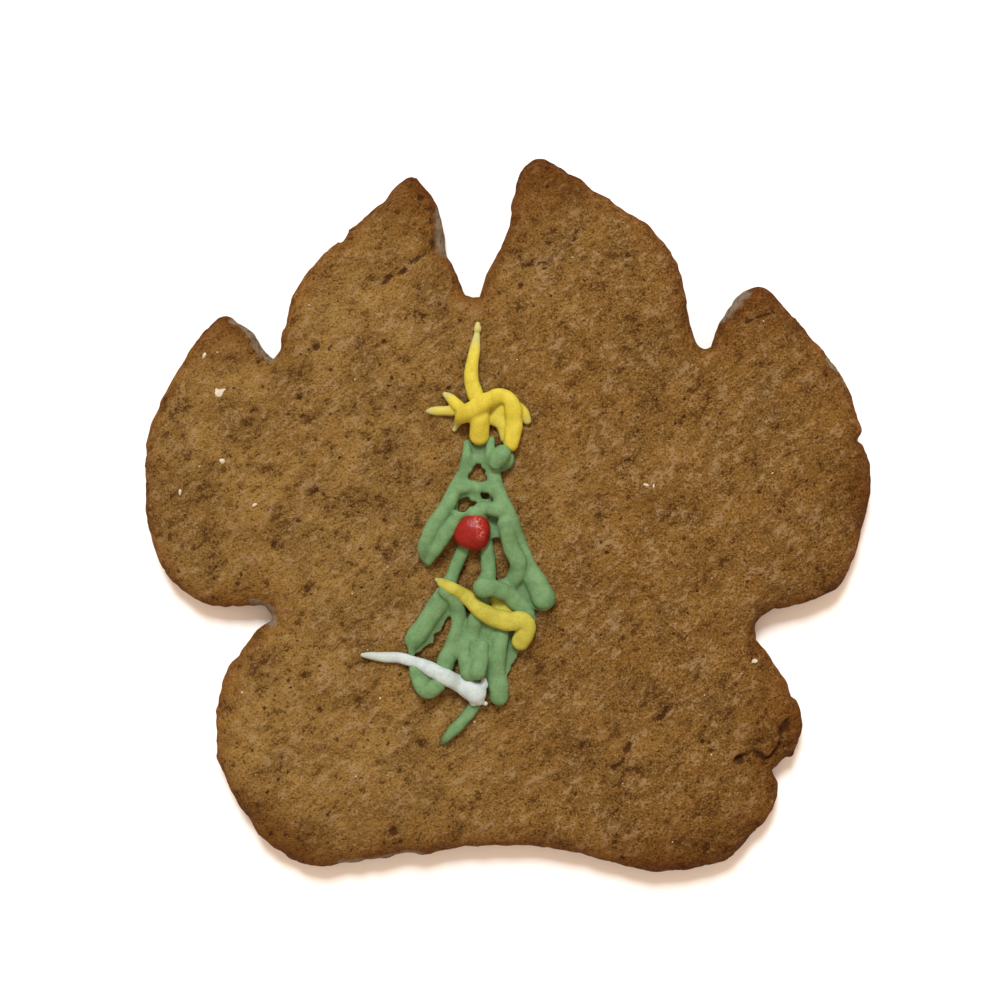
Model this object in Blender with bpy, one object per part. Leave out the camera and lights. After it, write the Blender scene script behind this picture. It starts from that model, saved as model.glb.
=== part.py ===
"""A paw-shaped gingerbread cookie with a fir tree piped on it in icing. Blender 4.5, metres, +Z up.

The cookie lies on z = 0 with its claws towards +Y. The tree is icing in five pieces: the green tree, a
yellow star, a yellow garland, a white garland and a red bauble. Lengths below are in millimetres, and
MM turns them into Blender's metres when a mesh is made.
"""

import math

import bmesh
import bpy
import numpy as np
from mathutils import Vector
from mathutils.geometry import delaunay_2d_cdt

MM = 0.001

# Cookie: heights and the rounding of its edge
CENTRE_HEIGHT = 7.2
SHOULDER_HEIGHT = 5.9
CROWN_REACH = 11.0
RIM_HEIGHT = 2.6
WALL_FOOT = 0.8
BASE_INSET = 0.5
EDGE_ROUND = 4.2
EDGE_POWER = 2.3

# Cookie: the outline, as smooth runs between the corners of its notches, clockwise from the left notch
OUTLINE_RUNS = {
    "toe_1": [(-36.0, -13.6), (-38.9, -13.5), (-42.4, -13.6), (-45.0, -13.3), (-48.1, -11.5), (-50.4, -9.2),
              (-53.3, -2.7), (-54.2, 5.5), (-53.2, 13.1), (-50.5, 18.8), (-47.3, 24.2), (-44.7, 27.8),
              (-43.0, 29.5), (-41.8, 29.9), (-40.9, 29.5), (-40.3, 29.0), (-39.0, 28.4), (-36.7, 25.7),
              (-34.9, 23.6)],
    "toe_2": [(-34.9, 23.6), (-34.1, 24.4), (-33.5, 27.5), (-32.2, 31.5), (-29.7, 36.3), (-27.6, 38.9),
              (-25.1, 40.8)],
    "toe_2_nick": [(-25.1, 40.8), (-24.5, 40.8), (-23.6, 42.1), (-23.5, 42.7)],
    "toe_2_tip": [(-23.5, 42.7), (-20.8, 45.0), (-17.8, 48.0), (-15.9, 49.9), (-14.8, 50.5), (-13.7, 50.5),
                  (-12.8, 49.9), (-10.3, 46.3), (-9.4, 43.5), (-9.0, 39.8), (-8.0, 37.5), (-6.1, 32.9)],
    "claw_gap": [(-6.1, 32.9), (-4.0, 32.8)],
    "toe_3": [(-4.0, 32.8), (-1.9, 38.2), (0.2, 42.7), (1.4, 48.4), (2.1, 51.1), (3.0, 52.5), (4.4, 53.4),
              (5.9, 53.4), (8.1, 52.1), (14.2, 48.0), (20.3, 44.1), (24.2, 40.3), (26.2, 36.0), (27.2, 31.5),
              (28.0, 27.4), (29.2, 25.1), (30.0, 24.9), (30.7, 25.2)],
    "toe_4": [(30.7, 25.2), (31.9, 28.5), (34.0, 31.6), (36.0, 33.6), (37.6, 34.1), (39.6, 33.1), (40.9, 31.7),
              (46.2, 26.3), (50.6, 19.7), (52.5, 14.6), (53.1, 12.6), (52.6, 11.2)],
    "toe_4_side": [(52.6, 11.2), (53.3, 10.7), (53.9, 9.4), (54.3, 4.0), (53.3, -1.9), (51.2, -8.3),
                   (48.6, -11.4), (46.9, -12.5), (44.5, -13.3), (41.9, -13.8), (40.0, -14.0)],
    "right_notch": [(40.0, -14.0), (38.9, -14.6), (37.5, -16.3), (37.4, -18.0), (37.5, -18.7)],
    "pad_right": [(37.5, -18.7), (38.9, -20.4), (40.0, -22.4), (42.0, -24.8), (42.8, -27.0)],
    "pad_lobe": [(42.8, -27.0), (43.5, -27.6), (44.2, -30.6), (43.9, -33.4), (42.8, -36.0), (41.9, -36.2)],
    "crack": [(41.9, -36.2), (40.0, -38.2)],
    "pad": [(40.0, -38.2), (40.9, -40.9), (40.3, -43.5), (39.2, -45.1), (35.2, -49.8), (31.6, -52.0),
            (27.6, -53.1), (24.6, -53.4), (22.0, -53.2), (15.6, -52.0), (9.1, -50.2), (5.1, -49.5), (-1.4, -49.1),
            (-5.9, -49.9), (-10.4, -50.3), (-12.5, -50.9), (-15.5, -50.8), (-20.4, -51.4), (-25.9, -52.2),
            (-28.6, -52.3), (-33.4, -50.7), (-41.9, -39.7), (-43.3, -32.2), (-42.2, -24.9), (-41.3, -22.0),
            (-40.3, -21.1)],
    "left_notch": [(-40.3, -21.1), (-40.0, -20.5), (-37.2, -17.4), (-35.2, -15.6), (-35.1, -14.8), (-36.0, -13.6)],
}
OUTLINE_STEP = 2.0
WOBBLE = 0.12
WOBBLE_SIZE = 2.6

# Cookie: relief of its top, as (size of a bump, height, seed)
BUMPS = [(13.0, 0.55, 11), (6.5, 0.42, 12)]
# Folds and cracks: route, depth and half width
CREASES = [
    ([(-16.8, 36.0), (-13.8, 38.2), (-10.3, 43.0)], 0.55, 0.9),
    ([(1.8, 37.0), (6.6, 38.4), (12.4, 44.2)], 0.40, 0.9),
    ([(36.4, 29.3), (40.4, 31.4)], 0.50, 0.8),
    ([(-44.3, 25.2), (-41.9, 27.2)], 0.40, 0.8),
    ([(34.4, -37.8), (37.4, -35.6), (40.6, -34.2), (41.8, -31.4)], 0.95, 1.1),
    ([(16.1, -38.1), (18.6, -33.4), (21.6, -32.2), (24.6, -28.6)], 0.55, 0.9),
]
GRID_STEP = 2.9
EDGE_INSETS = (0.5, 1.5, 3.0)
CREASE_STEP = 1.3

# Icing: a strand's section against its width, and how far one strand settles into another
STRAND_HALF_HEIGHT = 0.40
STRAND_LIFT = 0.27
PILE_KEPT = 0.80
PILE_SPREAD = 0.25
PILE_SMOOTHING = 1.6
STRAND_STEP = 1.7
STRAND_SIDES = 6
FLAT_TOP = 1.08
END_RINGS = (0.55, 0.9)
CLEARANCE = 0.32

# Icing: strands in the order they were piped, each point as x, y and width
GREEN, YELLOW, STAR, WHITE = "icing_tree_green", "icing_garland_yellow", "icing_star_yellow", "icing_garland_white"
STRANDS = [
    (GREEN, "top_film", [(-5.4, 9.2, 2.2), (-3.9, 9.0, 2.8), (-2.4, 9.2, 2.2)]),
    (GREEN, "left_fill", [(-7.3, 2.2, 2.0), (-8.8, -0.6, 3.0), (-10.4, -3.4, 3.2), (-11.3, -5.0, 2.2)]),
    (GREEN, "right_fill", [(-1.7, 3.2, 2.4), (-1.5, 0.9, 3.0), (-1.0, -1.8, 3.0)]),
    (GREEN, "left_outer", [(-5.9, 10.6, 0.9), (-5.9, 9.0, 1.4), (-6.4, 6.6, 1.7), (-7.4, 4.4, 2.1), (-8.4, 2.1, 2.2),
                           (-9.6, 0.2, 2.2), (-10.8, -1.5, 2.2), (-11.6, -3.2, 2.2), (-12.2, -5.0, 2.2),
                           (-12.0, -6.6, 1.4), (-11.7, -7.6, 0.5)]),
    (GREEN, "left_inner", [(-5.4, 0.8, 1.8), (-7.0, -0.4, 2.0), (-8.5, -2.1, 2.1), (-9.6, -3.8, 2.0),
                           (-10.7, -5.4, 1.7), (-11.5, -7.0, 0.8)]),
    (GREEN, "right_outer", [(-2.3, 11.2, 1.2), (-2.4, 8.4, 1.7), (-1.9, 6.1, 2.0), (-1.4, 4.2, 2.1),
                            (-0.7, 2.1, 2.4), (0.1, 0.1, 2.7), (1.0, -2.4, 2.8), (2.1, -5.2, 2.7),
                            (3.2, -7.8, 2.7), (4.5, -10.2, 3.2), (5.5, -12.3, 3.6)]),
    (GREEN, "right_lump", [(0.6, 9.3, 1.4), (0.5, 8.2, 2.1), (-0.1, 7.2, 1.5)]),
    (GREEN, "right_ball", [(-0.6, 9.2, 2.5), (-1.1, 8.6, 2.8), (-1.6, 7.8, 2.2)]),
    (GREEN, "upper_bar", [(-7.0, 3.9, 1.6), (-5.2, 4.2, 1.9), (-3.9, 4.1, 1.7), (-2.1, 3.7, 1.8)]),
    (GREEN, "upper_link", [(-4.3, 3.8, 1.3), (-4.1, 2.4, 1.1), (-3.9, 1.1, 1.9)]),
    (GREEN, "lower_bar", [(-7.2, 0.0, 1.6), (-5.4, 0.7, 1.8), (-3.3, 1.1, 1.9), (-1.2, 0.6, 2.0)]),
    (GREEN, "inner_right", [(-4.2, 0.4, 2.1), (-3.4, -2.5, 2.2), (-2.9, -5.0, 2.2), (-2.7, -7.0, 2.3),
                            (-2.7, -9.0, 2.4), (-3.3, -10.5, 2.8)]),
    (GREEN, "inner_left", [(-4.9, 0.1, 1.8), (-5.7, -2.2, 1.9), (-6.5, -5.2, 2.0), (-7.5, -7.5, 2.0),
                           (-8.2, -9.4, 2.0), (-9.3, -11.8, 2.9), (-10.9, -14.4, 3.0), (-12.7, -17.1, 3.0),
                           (-13.9, -18.7, 2.8)]),
    (GREEN, "left_tail", [(-14.0, -18.8, 1.2), (-14.2, -20.6, 1.0), (-14.1, -22.3, 1.1), (-13.8, -23.6, 1.5)]),
    (GREEN, "second_leg", [(-9.2, -11.4, 1.8), (-7.6, -12.9, 2.2), (-7.1, -16.0, 2.4), (-7.8, -19.2, 2.5),
                           (-8.9, -21.6, 2.7), (-9.6, -23.8, 2.7), (-10.5, -25.3, 2.5)]),
    (GREEN, "second_foot", [(-10.2, -25.3, 2.4), (-11.7, -26.1, 2.6), (-13.0, -25.0, 2.2), (-13.8, -23.2, 1.3)]),
    (GREEN, "low_right", [(1.6, -17.6, 1.9), (0.9, -20.4, 1.7), (0.1, -22.6, 1.5)]),
    (GREEN, "low_middle", [(-3.6, -10.6, 1.8), (-3.5, -13.4, 2.2), (-2.6, -17.2, 2.6), (-2.7, -21.0, 2.1),
                           (-3.3, -23.6, 1.6)]),
    (GREEN, "fourth_leg", [(-0.6, -17.2, 2.4), (-1.3, -21.0, 2.6), (-1.5, -23.6, 2.8), (-1.2, -25.7, 3.1),
                           (-1.1, -27.0, 3.0)]),
    (GREEN, "trunk", [(-3.3, -21.2, 1.6), (-4.1, -24.4, 1.8), (-4.0, -26.7, 1.9), (-5.0, -28.8, 1.9),
                      (-6.1, -30.3, 1.8), (-7.8, -32.1, 1.8), (-9.0, -33.4, 1.3), (-9.6, -34.2, 0.6)]),
    (GREEN, "loop", [(-0.3, -1.3, 2.1), (0.8, -5.0, 2.5), (1.8, -7.3, 2.5), (1.3, -9.3, 2.5),
                     (-0.1, -10.7, 2.4), (-1.8, -10.9, 2.2), (-3.3, -10.7, 2.2)]),
    (GREEN, "loop_fill", [(1.8, -9.8, 1.8), (3.0, -12.3, 1.8), (3.8, -14.4, 1.6)]),
    (WHITE, "white_swipe", [(-21.6, -21.0, 0.6), (-20.2, -21.1, 1.2), (-18.4, -21.3, 1.6), (-15.9, -21.4, 1.6),
                            (-13.2, -22.2, 1.8), (-10.5, -23.4, 2.3), (-8.1, -24.6, 2.5), (-6.2, -25.6, 2.8),
                            (-4.6, -26.4, 3.3)]),
    (GREEN, "third_leg", [(-4.2, -14.5, 2.2), (-4.9, -16.9, 2.6), (-5.5, -19.5, 2.9), (-5.6, -21.8, 3.2),
                          (-5.3, -23.2, 3.2)]),
    (GREEN, "third_return", [(-4.3, -23.2, 2.6), (-3.8, -21.5, 2.2), (-3.5, -19.5, 1.8)]),
    (YELLOW, "garland_under", [(-1.9, -12.6, 1.8), (-0.4, -13.8, 2.4), (0.9, -14.6, 2.4), (2.1, -15.4, 2.0)]),
    (GREEN, "over_loop", [(-3.4, -10.7, 2.9), (-1.8, -10.8, 2.4), (-0.1, -11.6, 2.5), (1.4, -12.9, 2.6),
                          (2.8, -14.4, 2.4), (3.6, -15.4, 1.6)]),
    (YELLOW, "garland_over", [(-10.5, -9.6, 0.6), (-9.3, -10.3, 1.5), (-7.6, -11.1, 1.9), (-5.7, -12.4, 2.2),
                              (-3.8, -14.1, 2.5), (-1.6, -15.3, 2.7), (0.6, -15.8, 2.9), (2.2, -15.6, 2.9),
                              (3.3, -16.5, 2.7), (3.0, -17.8, 2.7), (2.2, -18.9, 2.4)]),
    (STAR, "star_bar", [(-11.8, 15.6, 0.6), (-10.9, 15.6, 1.3), (-9.2, 15.6, 1.5), (-6.9, 15.6, 1.6),
                        (-3.9, 15.1, 1.8), (-0.9, 15.6, 1.8), (1.2, 16.2, 1.9), (2.4, 15.3, 1.8),
                        (3.1, 14.2, 1.3)]),
    (STAR, "star_diagonal", [(-9.2, 18.1, 0.8), (-8.4, 17.5, 1.4), (-7.2, 16.3, 1.7), (-6.0, 15.4, 1.8),
                             (-3.9, 14.4, 1.9), (-1.8, 14.1, 1.5), (-0.7, 13.2, 1.6), (-0.2, 11.5, 1.6)]),
    (STAR, "star_spike", [(-4.3, 28.7, 0.7), (-4.3, 28.1, 0.9), (-4.4, 27.3, 0.8), (-4.5, 26.4, 1.2),
                          (-4.8, 24.5, 1.7), (-5.2, 22.0, 2.0), (-5.2, 20.0, 2.2), (-4.7, 18.2, 2.4),
                          (-4.1, 16.5, 2.5), (-4.0, 14.2, 2.8), (-4.0, 11.9, 3.0)]),
    (STAR, "star_loop", [(-7.8, 12.8, 0.7), (-7.4, 13.4, 0.8), (-7.0, 14.2, 1.5), (-6.1, 15.0, 2.6),
                         (-4.4, 16.0, 2.6), (-2.6, 17.1, 2.5), (-0.7, 17.7, 2.4), (0.7, 16.8, 2.4),
                         (1.1, 14.8, 2.5), (1.0, 12.3, 2.5), (0.7, 10.6, 2.2)]),
]
BAUBLE = "icing_bauble_red"
BAUBLE_LOBES = [(-4.8, -2.2, 2.45), (-5.8, -2.7, 2.15), (-4.5, -3.35, 1.95)]
BAUBLE_LIFT = 0.45
BAUBLE_HEIGHT = 0.78
# Folds and piping were placed as seen from above, where the top looks larger than the outline under it
TOP_SCALE = 0.982
TOP_CENTRE = (-0.9, 2.2)

# Colours as they look baked, for the plain materials
COLOURS = {
    "cookie_gingerbread": ((0.235, 0.110, 0.034), 0.85),
    GREEN: ((0.150, 0.260, 0.115), 0.45),
    YELLOW: ((0.620, 0.460, 0.060), 0.40),
    STAR: ((0.620, 0.460, 0.060), 0.40),
    WHITE: ((0.600, 0.640, 0.600), 0.45),
    BAUBLE: ((0.460, 0.030, 0.022), 0.30),
}


def clear_scene():
    for old in list(bpy.data.objects):
        bpy.data.objects.remove(old, do_unlink=True)


def drawn_in(points):
    """Places on the top as seen from above, moved to where they are, with their widths made smaller alike."""
    p = np.array(points, float)
    p[:, :2] = TOP_CENTRE + (p[:, :2] - TOP_CENTRE) * TOP_SCALE
    p[:, 2:] *= TOP_SCALE
    return p


def noise_field(x, y, size, seed):
    """Smooth random relief from -1 to 1 with bumps about size across, the same on every run."""
    lattice = np.random.default_rng(seed).uniform(-1.0, 1.0, (64, 64))
    u, v = np.asarray(x, float) / size + 32.0, np.asarray(y, float) / size + 32.0
    column, row = np.floor(u).astype(int), np.floor(v).astype(int)
    s, t = u - column, v - row
    s, t = s * s * (3 - 2 * s), t * t * (3 - 2 * t)

    def corner(i, j):
        return lattice[(column + i) % 64, (row + j) % 64]

    near = corner(0, 0) * (1 - s) + corner(1, 0) * s
    far = corner(0, 1) * (1 - s) + corner(1, 1) * s
    return near * (1 - t) + far * t


def spline(points, step):
    """Points about step apart on the centripetal curve through points, in as many coordinates as they have."""
    p = np.array(points, float)
    p = np.vstack([2 * p[0] - p[1], p, 2 * p[-1] - p[-2]])
    knots = np.concatenate([[0], np.cumsum(np.linalg.norm(np.diff(p[:, :2], axis=0), axis=1) ** 0.5)])
    dense = []
    for i in range(1, len(p) - 2):
        k0, k1, k2, k3 = knots[i - 1:i + 3]
        for t in np.linspace(k1, k2, 24, endpoint=False):
            a1 = ((k1 - t) * p[i - 1] + (t - k0) * p[i]) / (k1 - k0)
            a2 = ((k2 - t) * p[i] + (t - k1) * p[i + 1]) / (k2 - k1)
            a3 = ((k3 - t) * p[i + 1] + (t - k2) * p[i + 2]) / (k3 - k2)
            b1 = ((k2 - t) * a1 + (t - k0) * a2) / (k2 - k0)
            b2 = ((k3 - t) * a2 + (t - k1) * a3) / (k3 - k1)
            dense.append(((k2 - t) * b1 + (t - k1) * b2) / (k2 - k1))
    dense = np.array(dense + [p[-2]])
    along = np.concatenate([[0], np.cumsum(np.linalg.norm(np.diff(dense[:, :2], axis=0), axis=1))])
    stations = np.linspace(0, along[-1], max(2, round(along[-1] / step) + 1))
    return np.column_stack([np.interp(stations, along, dense[:, k]) for k in range(dense.shape[1])])


def outline(step):
    """The paw's outline at its widest, anticlockwise, with its box centred on the origin."""
    def wobbled(s):
        loop = np.vstack([spline(run, s)[:-1] for run in OUTLINE_RUNS.values()])[::-1]
        ahead = np.roll(loop, -1, axis=0) - np.roll(loop, 1, axis=0)
        outward = np.column_stack([ahead[:, 1], -ahead[:, 0]])
        outward /= np.linalg.norm(outward, axis=1, keepdims=True)
        return loop + outward * WOBBLE * noise_field(loop[:, 0], loop[:, 1], WOBBLE_SIZE, 3)[:, None]

    fine = wobbled(0.25)
    return wobbled(step) - (fine.max(0) + fine.min(0)) / 2


def distance_to(path, x, y, closed):
    """Distance of each point x, y to a path of straight stretches."""
    start = path if closed else path[:-1]
    end = np.roll(path, -1, axis=0) if closed else path[1:]
    along = end - start
    p = np.column_stack([np.ravel(x), np.ravel(y)])
    best = np.full(len(p), np.inf)
    for s, d in zip(start, along):
        t = np.clip((p - s) @ d / (d @ d), 0, 1)
        best = np.minimum(best, np.hypot(*(p - s - t[:, None] * d).T))
    return best.reshape(np.shape(x))


def top_height(x, y, edge):
    """Height of the cookie's top where the outline is edge away."""
    crown = CENTRE_HEIGHT - (CENTRE_HEIGHT - SHOULDER_HEIGHT) * np.exp(-edge / CROWN_REACH)
    rise = np.clip(edge / EDGE_ROUND, 0, 1)
    height = RIM_HEIGHT + (crown - RIM_HEIGHT) * (1 - (1 - rise) ** EDGE_POWER) ** (1 / EDGE_POWER)
    for size, bump, seed in BUMPS:
        height = height + rise * bump * noise_field(x, y, size, seed)
    for route, depth, half_width in CREASES:
        away = distance_to(drawn_in(route), x, y, closed=False) / half_width
        height = height - rise * depth * np.exp(-away * away)
    return height


def mesh_object(name, build):
    mesh = bpy.data.meshes.new(name)
    bm = bmesh.new()
    build(bm)
    bmesh.ops.recalc_face_normals(bm, faces=bm.faces)
    bm.to_mesh(mesh)
    bm.free()
    obj = bpy.data.objects.new(name, mesh)
    bpy.context.scene.collection.objects.link(obj)
    return obj


def top_points(rim, base_edge):
    """Where the top has vertices inside its rim: rings along the edge, a grid, and rows along the creases."""
    ahead = np.roll(rim, -1, axis=0) - np.roll(rim, 1, axis=0)
    inward = np.column_stack([-ahead[:, 1], ahead[:, 0]])
    inward /= np.linalg.norm(inward, axis=1, keepdims=True)
    found = [np.empty((0, 2))]
    for route, _, half_width in CREASES:
        line = spline(drawn_in(route), CREASE_STEP)
        across = np.gradient(line, axis=0)[:, ::-1] * (-1, 1)
        across /= np.linalg.norm(across, axis=1, keepdims=True)
        found += [line + across * half_width * side * 1.5 for side in (-1, 0, 1)]
    for inset in EDGE_INSETS:
        found.append(rim + inward * inset)
    reach = base_edge + EDGE_INSETS[-1]
    rows = np.arange(-reach, reach, GRID_STEP * math.sqrt(3) / 2)
    columns = np.arange(-reach, reach, GRID_STEP)
    found.append(np.array([(c + (r % 2) * GRID_STEP / 2, y) for r, y in enumerate(rows) for c in columns]))
    return found


def inside_loop(loop, points):
    """True for each point inside a closed loop."""
    x, y = points[:, 0], points[:, 1]
    odd = np.zeros(len(points), bool)
    for (x0, y0), (x1, y1) in zip(loop, np.roll(loop, -1, axis=0)):
        crosses = (y0 > y) != (y1 > y)
        with np.errstate(divide="ignore", invalid="ignore"):
            odd ^= crosses & (x < (x1 - x0) * (y - y0) / (y1 - y0) + x0)
    return odd


def spread_out(rim, groups):
    """Keeps each point that is inside the rim, far enough from it and not crowding one kept before."""
    kept = np.empty((0, 2))
    least = [0.75 * CREASE_STEP] * (3 * len(CREASES) + 1)
    least += [0.55 * OUTLINE_STEP] * len(EDGE_INSETS) + [0.62 * GRID_STEP]
    from_rim = [0.9 * EDGE_INSETS[1]] * (3 * len(CREASES) + 1)
    from_rim += [0.9 * inset for inset in EDGE_INSETS] + [1.4 * EDGE_INSETS[-1]]
    for group, gap, border in zip(groups, least, from_rim):
        group = group[inside_loop(rim, group)]
        group = group[distance_to(rim, group[:, 0], group[:, 1], closed=True) >= border]
        for point in group:
            if not len(kept) or np.hypot(*(kept - point).T).min() >= gap:
                kept = np.vstack([kept, point])
    return kept


def build_cookie(bm):
    """Top, rounded edge, wall and flat base as one closed mesh."""
    rim = outline(OUTLINE_STEP)
    count = len(rim)
    inner = spread_out(rim, top_points(rim, np.abs(rim).max()))
    flat = [Vector(p) for p in np.vstack([rim, inner])]
    ring = list(range(count))
    points, _, faces, _, _, _ = delaunay_2d_cdt(flat, [], [ring], 1, 1e-6)
    xy = np.array([p[:] for p in points])
    edge = distance_to(rim, xy[:, 0], xy[:, 1], closed=True)
    edge[:count] = 0.0
    z = top_height(xy[:, 0], xy[:, 1], edge)
    top = [bm.verts.new((x * MM, y * MM, h * MM)) for (x, y), h in zip(xy, z)]
    for face in faces:
        bm.faces.new([top[i] for i in face])

    ahead = np.roll(rim, -1, axis=0) - np.roll(rim, 1, axis=0)
    inward = np.column_stack([-ahead[:, 1], ahead[:, 0]])
    inward /= np.linalg.norm(inward, axis=1, keepdims=True)
    foot = [bm.verts.new((x * MM, y * MM, WALL_FOOT * MM)) for x, y in rim]
    base = [bm.verts.new((x * MM, y * MM, 0)) for x, y in rim + inward * BASE_INSET]
    for upper, lower in ((top[:count], foot), (foot, base)):
        for i in ring:
            j = (i + 1) % count
            bm.faces.new((upper[i], upper[j], lower[j], lower[i]))
    bottom = [Vector(p) for p in rim + inward * BASE_INSET]
    _, _, faces, _, _, _ = delaunay_2d_cdt(bottom, [], [ring], 1, 1e-6)
    for face in faces:
        bm.faces.new([base[i] for i in face])


def lay_strands(step):
    """Each strand's samples (x, y, z, half width), resting on the cookie and on the strands piped before it."""
    rim = outline(0.5)
    laid, pile = [], np.empty((0, 4))
    for node, name, points in STRANDS:
        x, y, width = spline(drawn_in(points), step).T
        ground = top_height(x, y, distance_to(rim, x, y, closed=True))
        top = ground.copy()
        if len(pile):
            away = np.hypot(x[:, None] - pile[:, 0], y[:, None] - pile[:, 1]) - PILE_SPREAD * width[:, None]
            share = np.clip(np.maximum(away, 0) / pile[:, 3], 0, 1)
            crest = pile[:, 2] + 2 * STRAND_HALF_HEIGHT * pile[:, 3] * np.sqrt(1 - share ** 2)
            top = np.maximum(top, np.where(share < 1, crest, 0).max(1))
        top = ground + (top - ground) * PILE_KEPT
        reach = max(1, round(PILE_SMOOTHING / step))
        padded = np.pad(top, reach, mode="edge")
        top = np.convolve(padded, np.ones(2 * reach + 1) / (2 * reach + 1), mode="valid")
        z = np.maximum(top, ground) + STRAND_LIFT * width
        samples = np.column_stack([x, y, z, width / 2])
        laid.append((node, name, samples))
        pile = np.vstack([pile, samples])
    return laid


def strand_object(name, samples, grow=0.0):
    """A strand as a closed tube with an oval section and round ends, made fatter by grow."""
    ahead = np.gradient(samples[:, :2], axis=0)
    ahead /= np.linalg.norm(ahead, axis=1, keepdims=True)
    rings = []
    for sign, k in ((-1, 0), (1, len(samples) - 1)):
        x, y, z, half = samples[k]
        cap = [(x + sign * ahead[k, 0] * (half + grow) * reach, y + sign * ahead[k, 1] * (half + grow) * reach,
                z, half, math.sqrt(1 - reach ** 2), k) for reach in END_RINGS]
        body = [(*s, 1.0, i) for i, s in enumerate(samples)] if sign < 0 else []
        rings = rings + cap[::-1] + body if sign < 0 else rings + cap

    def build(bm):
        loops = []
        for x, y, z, half, shrink, k in rings:
            side = (-ahead[k, 1], ahead[k, 0])
            wide = (half + grow) * shrink
            high = (2 * STRAND_HALF_HEIGHT * half + grow) * shrink * FLAT_TOP
            loop = []
            for n in range(STRAND_SIDES):
                a = 2 * math.pi * n / STRAND_SIDES
                across, up = wide * math.cos(a), high * math.sin(a)
                loop.append(bm.verts.new(((x + side[0] * across) * MM, (y + side[1] * across) * MM,
                                          (z + up) * MM)))
            loops.append(loop)
        for first, second in zip(loops, loops[1:]):
            for n in range(STRAND_SIDES):
                m = (n + 1) % STRAND_SIDES
                bm.faces.new((first[n], first[m], second[m], second[n]))
        bm.faces.new(loops[0])
        bm.faces.new(loops[-1])

    return mesh_object(name, build)


def lobe_object(name, x, y, z, radius, grow=0.0):
    """One round lobe of the bauble, flatter than it is wide."""
    def build(bm):
        bmesh.ops.create_icosphere(bm, subdivisions=2, radius=1.0)
        for vert in bm.verts:
            wide = radius + grow
            vert.co = Vector(((x + vert.co.x * wide) * MM, (y + vert.co.y * wide) * MM,
                              (z + vert.co.z * (radius * BAUBLE_HEIGHT + grow)) * MM))

    return mesh_object(name, build)


def apply_modifiers(obj):
    graph = bpy.context.evaluated_depsgraph_get()
    obj.data = bpy.data.meshes.new_from_object(obj.evaluated_get(graph))
    obj.modifiers.clear()


def fuse(name, objects):
    """The objects as one solid, by one union on a collection, which is then emptied."""
    first, rest = objects[0], objects[1:]
    first.name = name
    if rest:
        group = bpy.data.collections.new(name + "_strands")
        for obj in rest:
            group.objects.link(obj)
        union = first.modifiers.new("fuse", "BOOLEAN")
        union.operation, union.operand_type, union.collection = "UNION", "COLLECTION", group
        union.solver = "EXACT"
        apply_modifiers(first)
        for obj in rest:
            bpy.data.objects.remove(obj, do_unlink=True)
        bpy.data.collections.remove(group)
    return first


def cut(obj, cutter):
    difference = obj.modifiers.new("clear_" + cutter.name, "BOOLEAN")
    difference.operation, difference.object, difference.solver = "DIFFERENCE", cutter, "EXACT"
    apply_modifiers(obj)


def keep_largest_piece(obj):
    """Drops the scraps that a cut leaves beside the piece."""
    bm = bmesh.new()
    bm.from_mesh(obj.data)
    bmesh.ops.remove_doubles(bm, verts=bm.verts, dist=1e-6)
    waiting, pieces = set(bm.verts), []
    while waiting:
        stack, piece = [waiting.pop()], set()
        while stack:
            vert = stack.pop()
            piece.add(vert)
            for link in vert.link_edges:
                other = link.other_vert(vert)
                if other in waiting:
                    waiting.remove(other)
                    stack.append(other)
        pieces.append(piece)
    keep = max(pieces, key=len)
    bmesh.ops.delete(bm, geom=[v for v in bm.verts if v not in keep], context="VERTS")
    bm.to_mesh(obj.data)
    bm.free()


def icing_pieces(laid, grow=0.0):
    """One fused solid for each colour of icing, made fatter by grow."""
    suffix = "_grown" if grow else ""
    made = {}
    for node in (GREEN, WHITE, YELLOW, STAR):
        strands = [strand_object(name + suffix, s, grow) for n, name, s in laid if n == node]
        made[node] = fuse(node + suffix, strands)
    green = np.vstack([s for n, _, s in laid if n == GREEN])
    lobes = []
    for k, (x, y, radius) in enumerate(drawn_in(BAUBLE_LOBES)):
        under = green[np.hypot(green[:, 0] - x, green[:, 1] - y) < radius]
        z = np.median(under[:, 2]) + BAUBLE_LIFT + radius * BAUBLE_HEIGHT / 2
        lobes.append(lobe_object(f"lobe_{k}{suffix}", x, y, z, radius, grow))
    made[BAUBLE] = fuse(BAUBLE + suffix, lobes)
    return made


def add_material(obj, key):
    colour, roughness = COLOURS[key]
    material = bpy.data.materials.new(key)
    material.use_nodes = True
    shader = material.node_tree.nodes["Principled BSDF"]
    shader.inputs["Base Color"].default_value = (*colour, 1.0)
    shader.inputs["Roughness"].default_value = roughness
    shader.inputs["Metallic"].default_value = 0.0
    obj.data.materials.clear()
    obj.data.materials.append(material)
    obj.data.shade_smooth()


def main():
    clear_scene()
    cookie = mesh_object("cookie_gingerbread", build_cookie)
    raised = mesh_object("cookie_raised", build_cookie)
    for vert in raised.data.vertices:
        vert.co.z += CLEARANCE * MM

    laid = lay_strands(STRAND_STEP)
    pieces = icing_pieces(laid)
    grown = icing_pieces(laid, CLEARANCE)
    for node, piece in pieces.items():
        cut(piece, raised)
        if node != GREEN:
            cut(piece, grown[GREEN])
        keep_largest_piece(piece)
        add_material(piece, node)
    for helper in (raised, *grown.values()):
        bpy.data.objects.remove(helper, do_unlink=True)
    add_material(cookie, "cookie_gingerbread")


main()
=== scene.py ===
"""The looks of the paw-shaped gingerbread cookie: baked crumb, piped icing, flour marks and soft light.

Lengths are in millimetres until a mesh is made. The outline, the heights and nearly all strands repeat the
part's own values, so that each piece stays in the place of the node it stands for.
"""
import math

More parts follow.
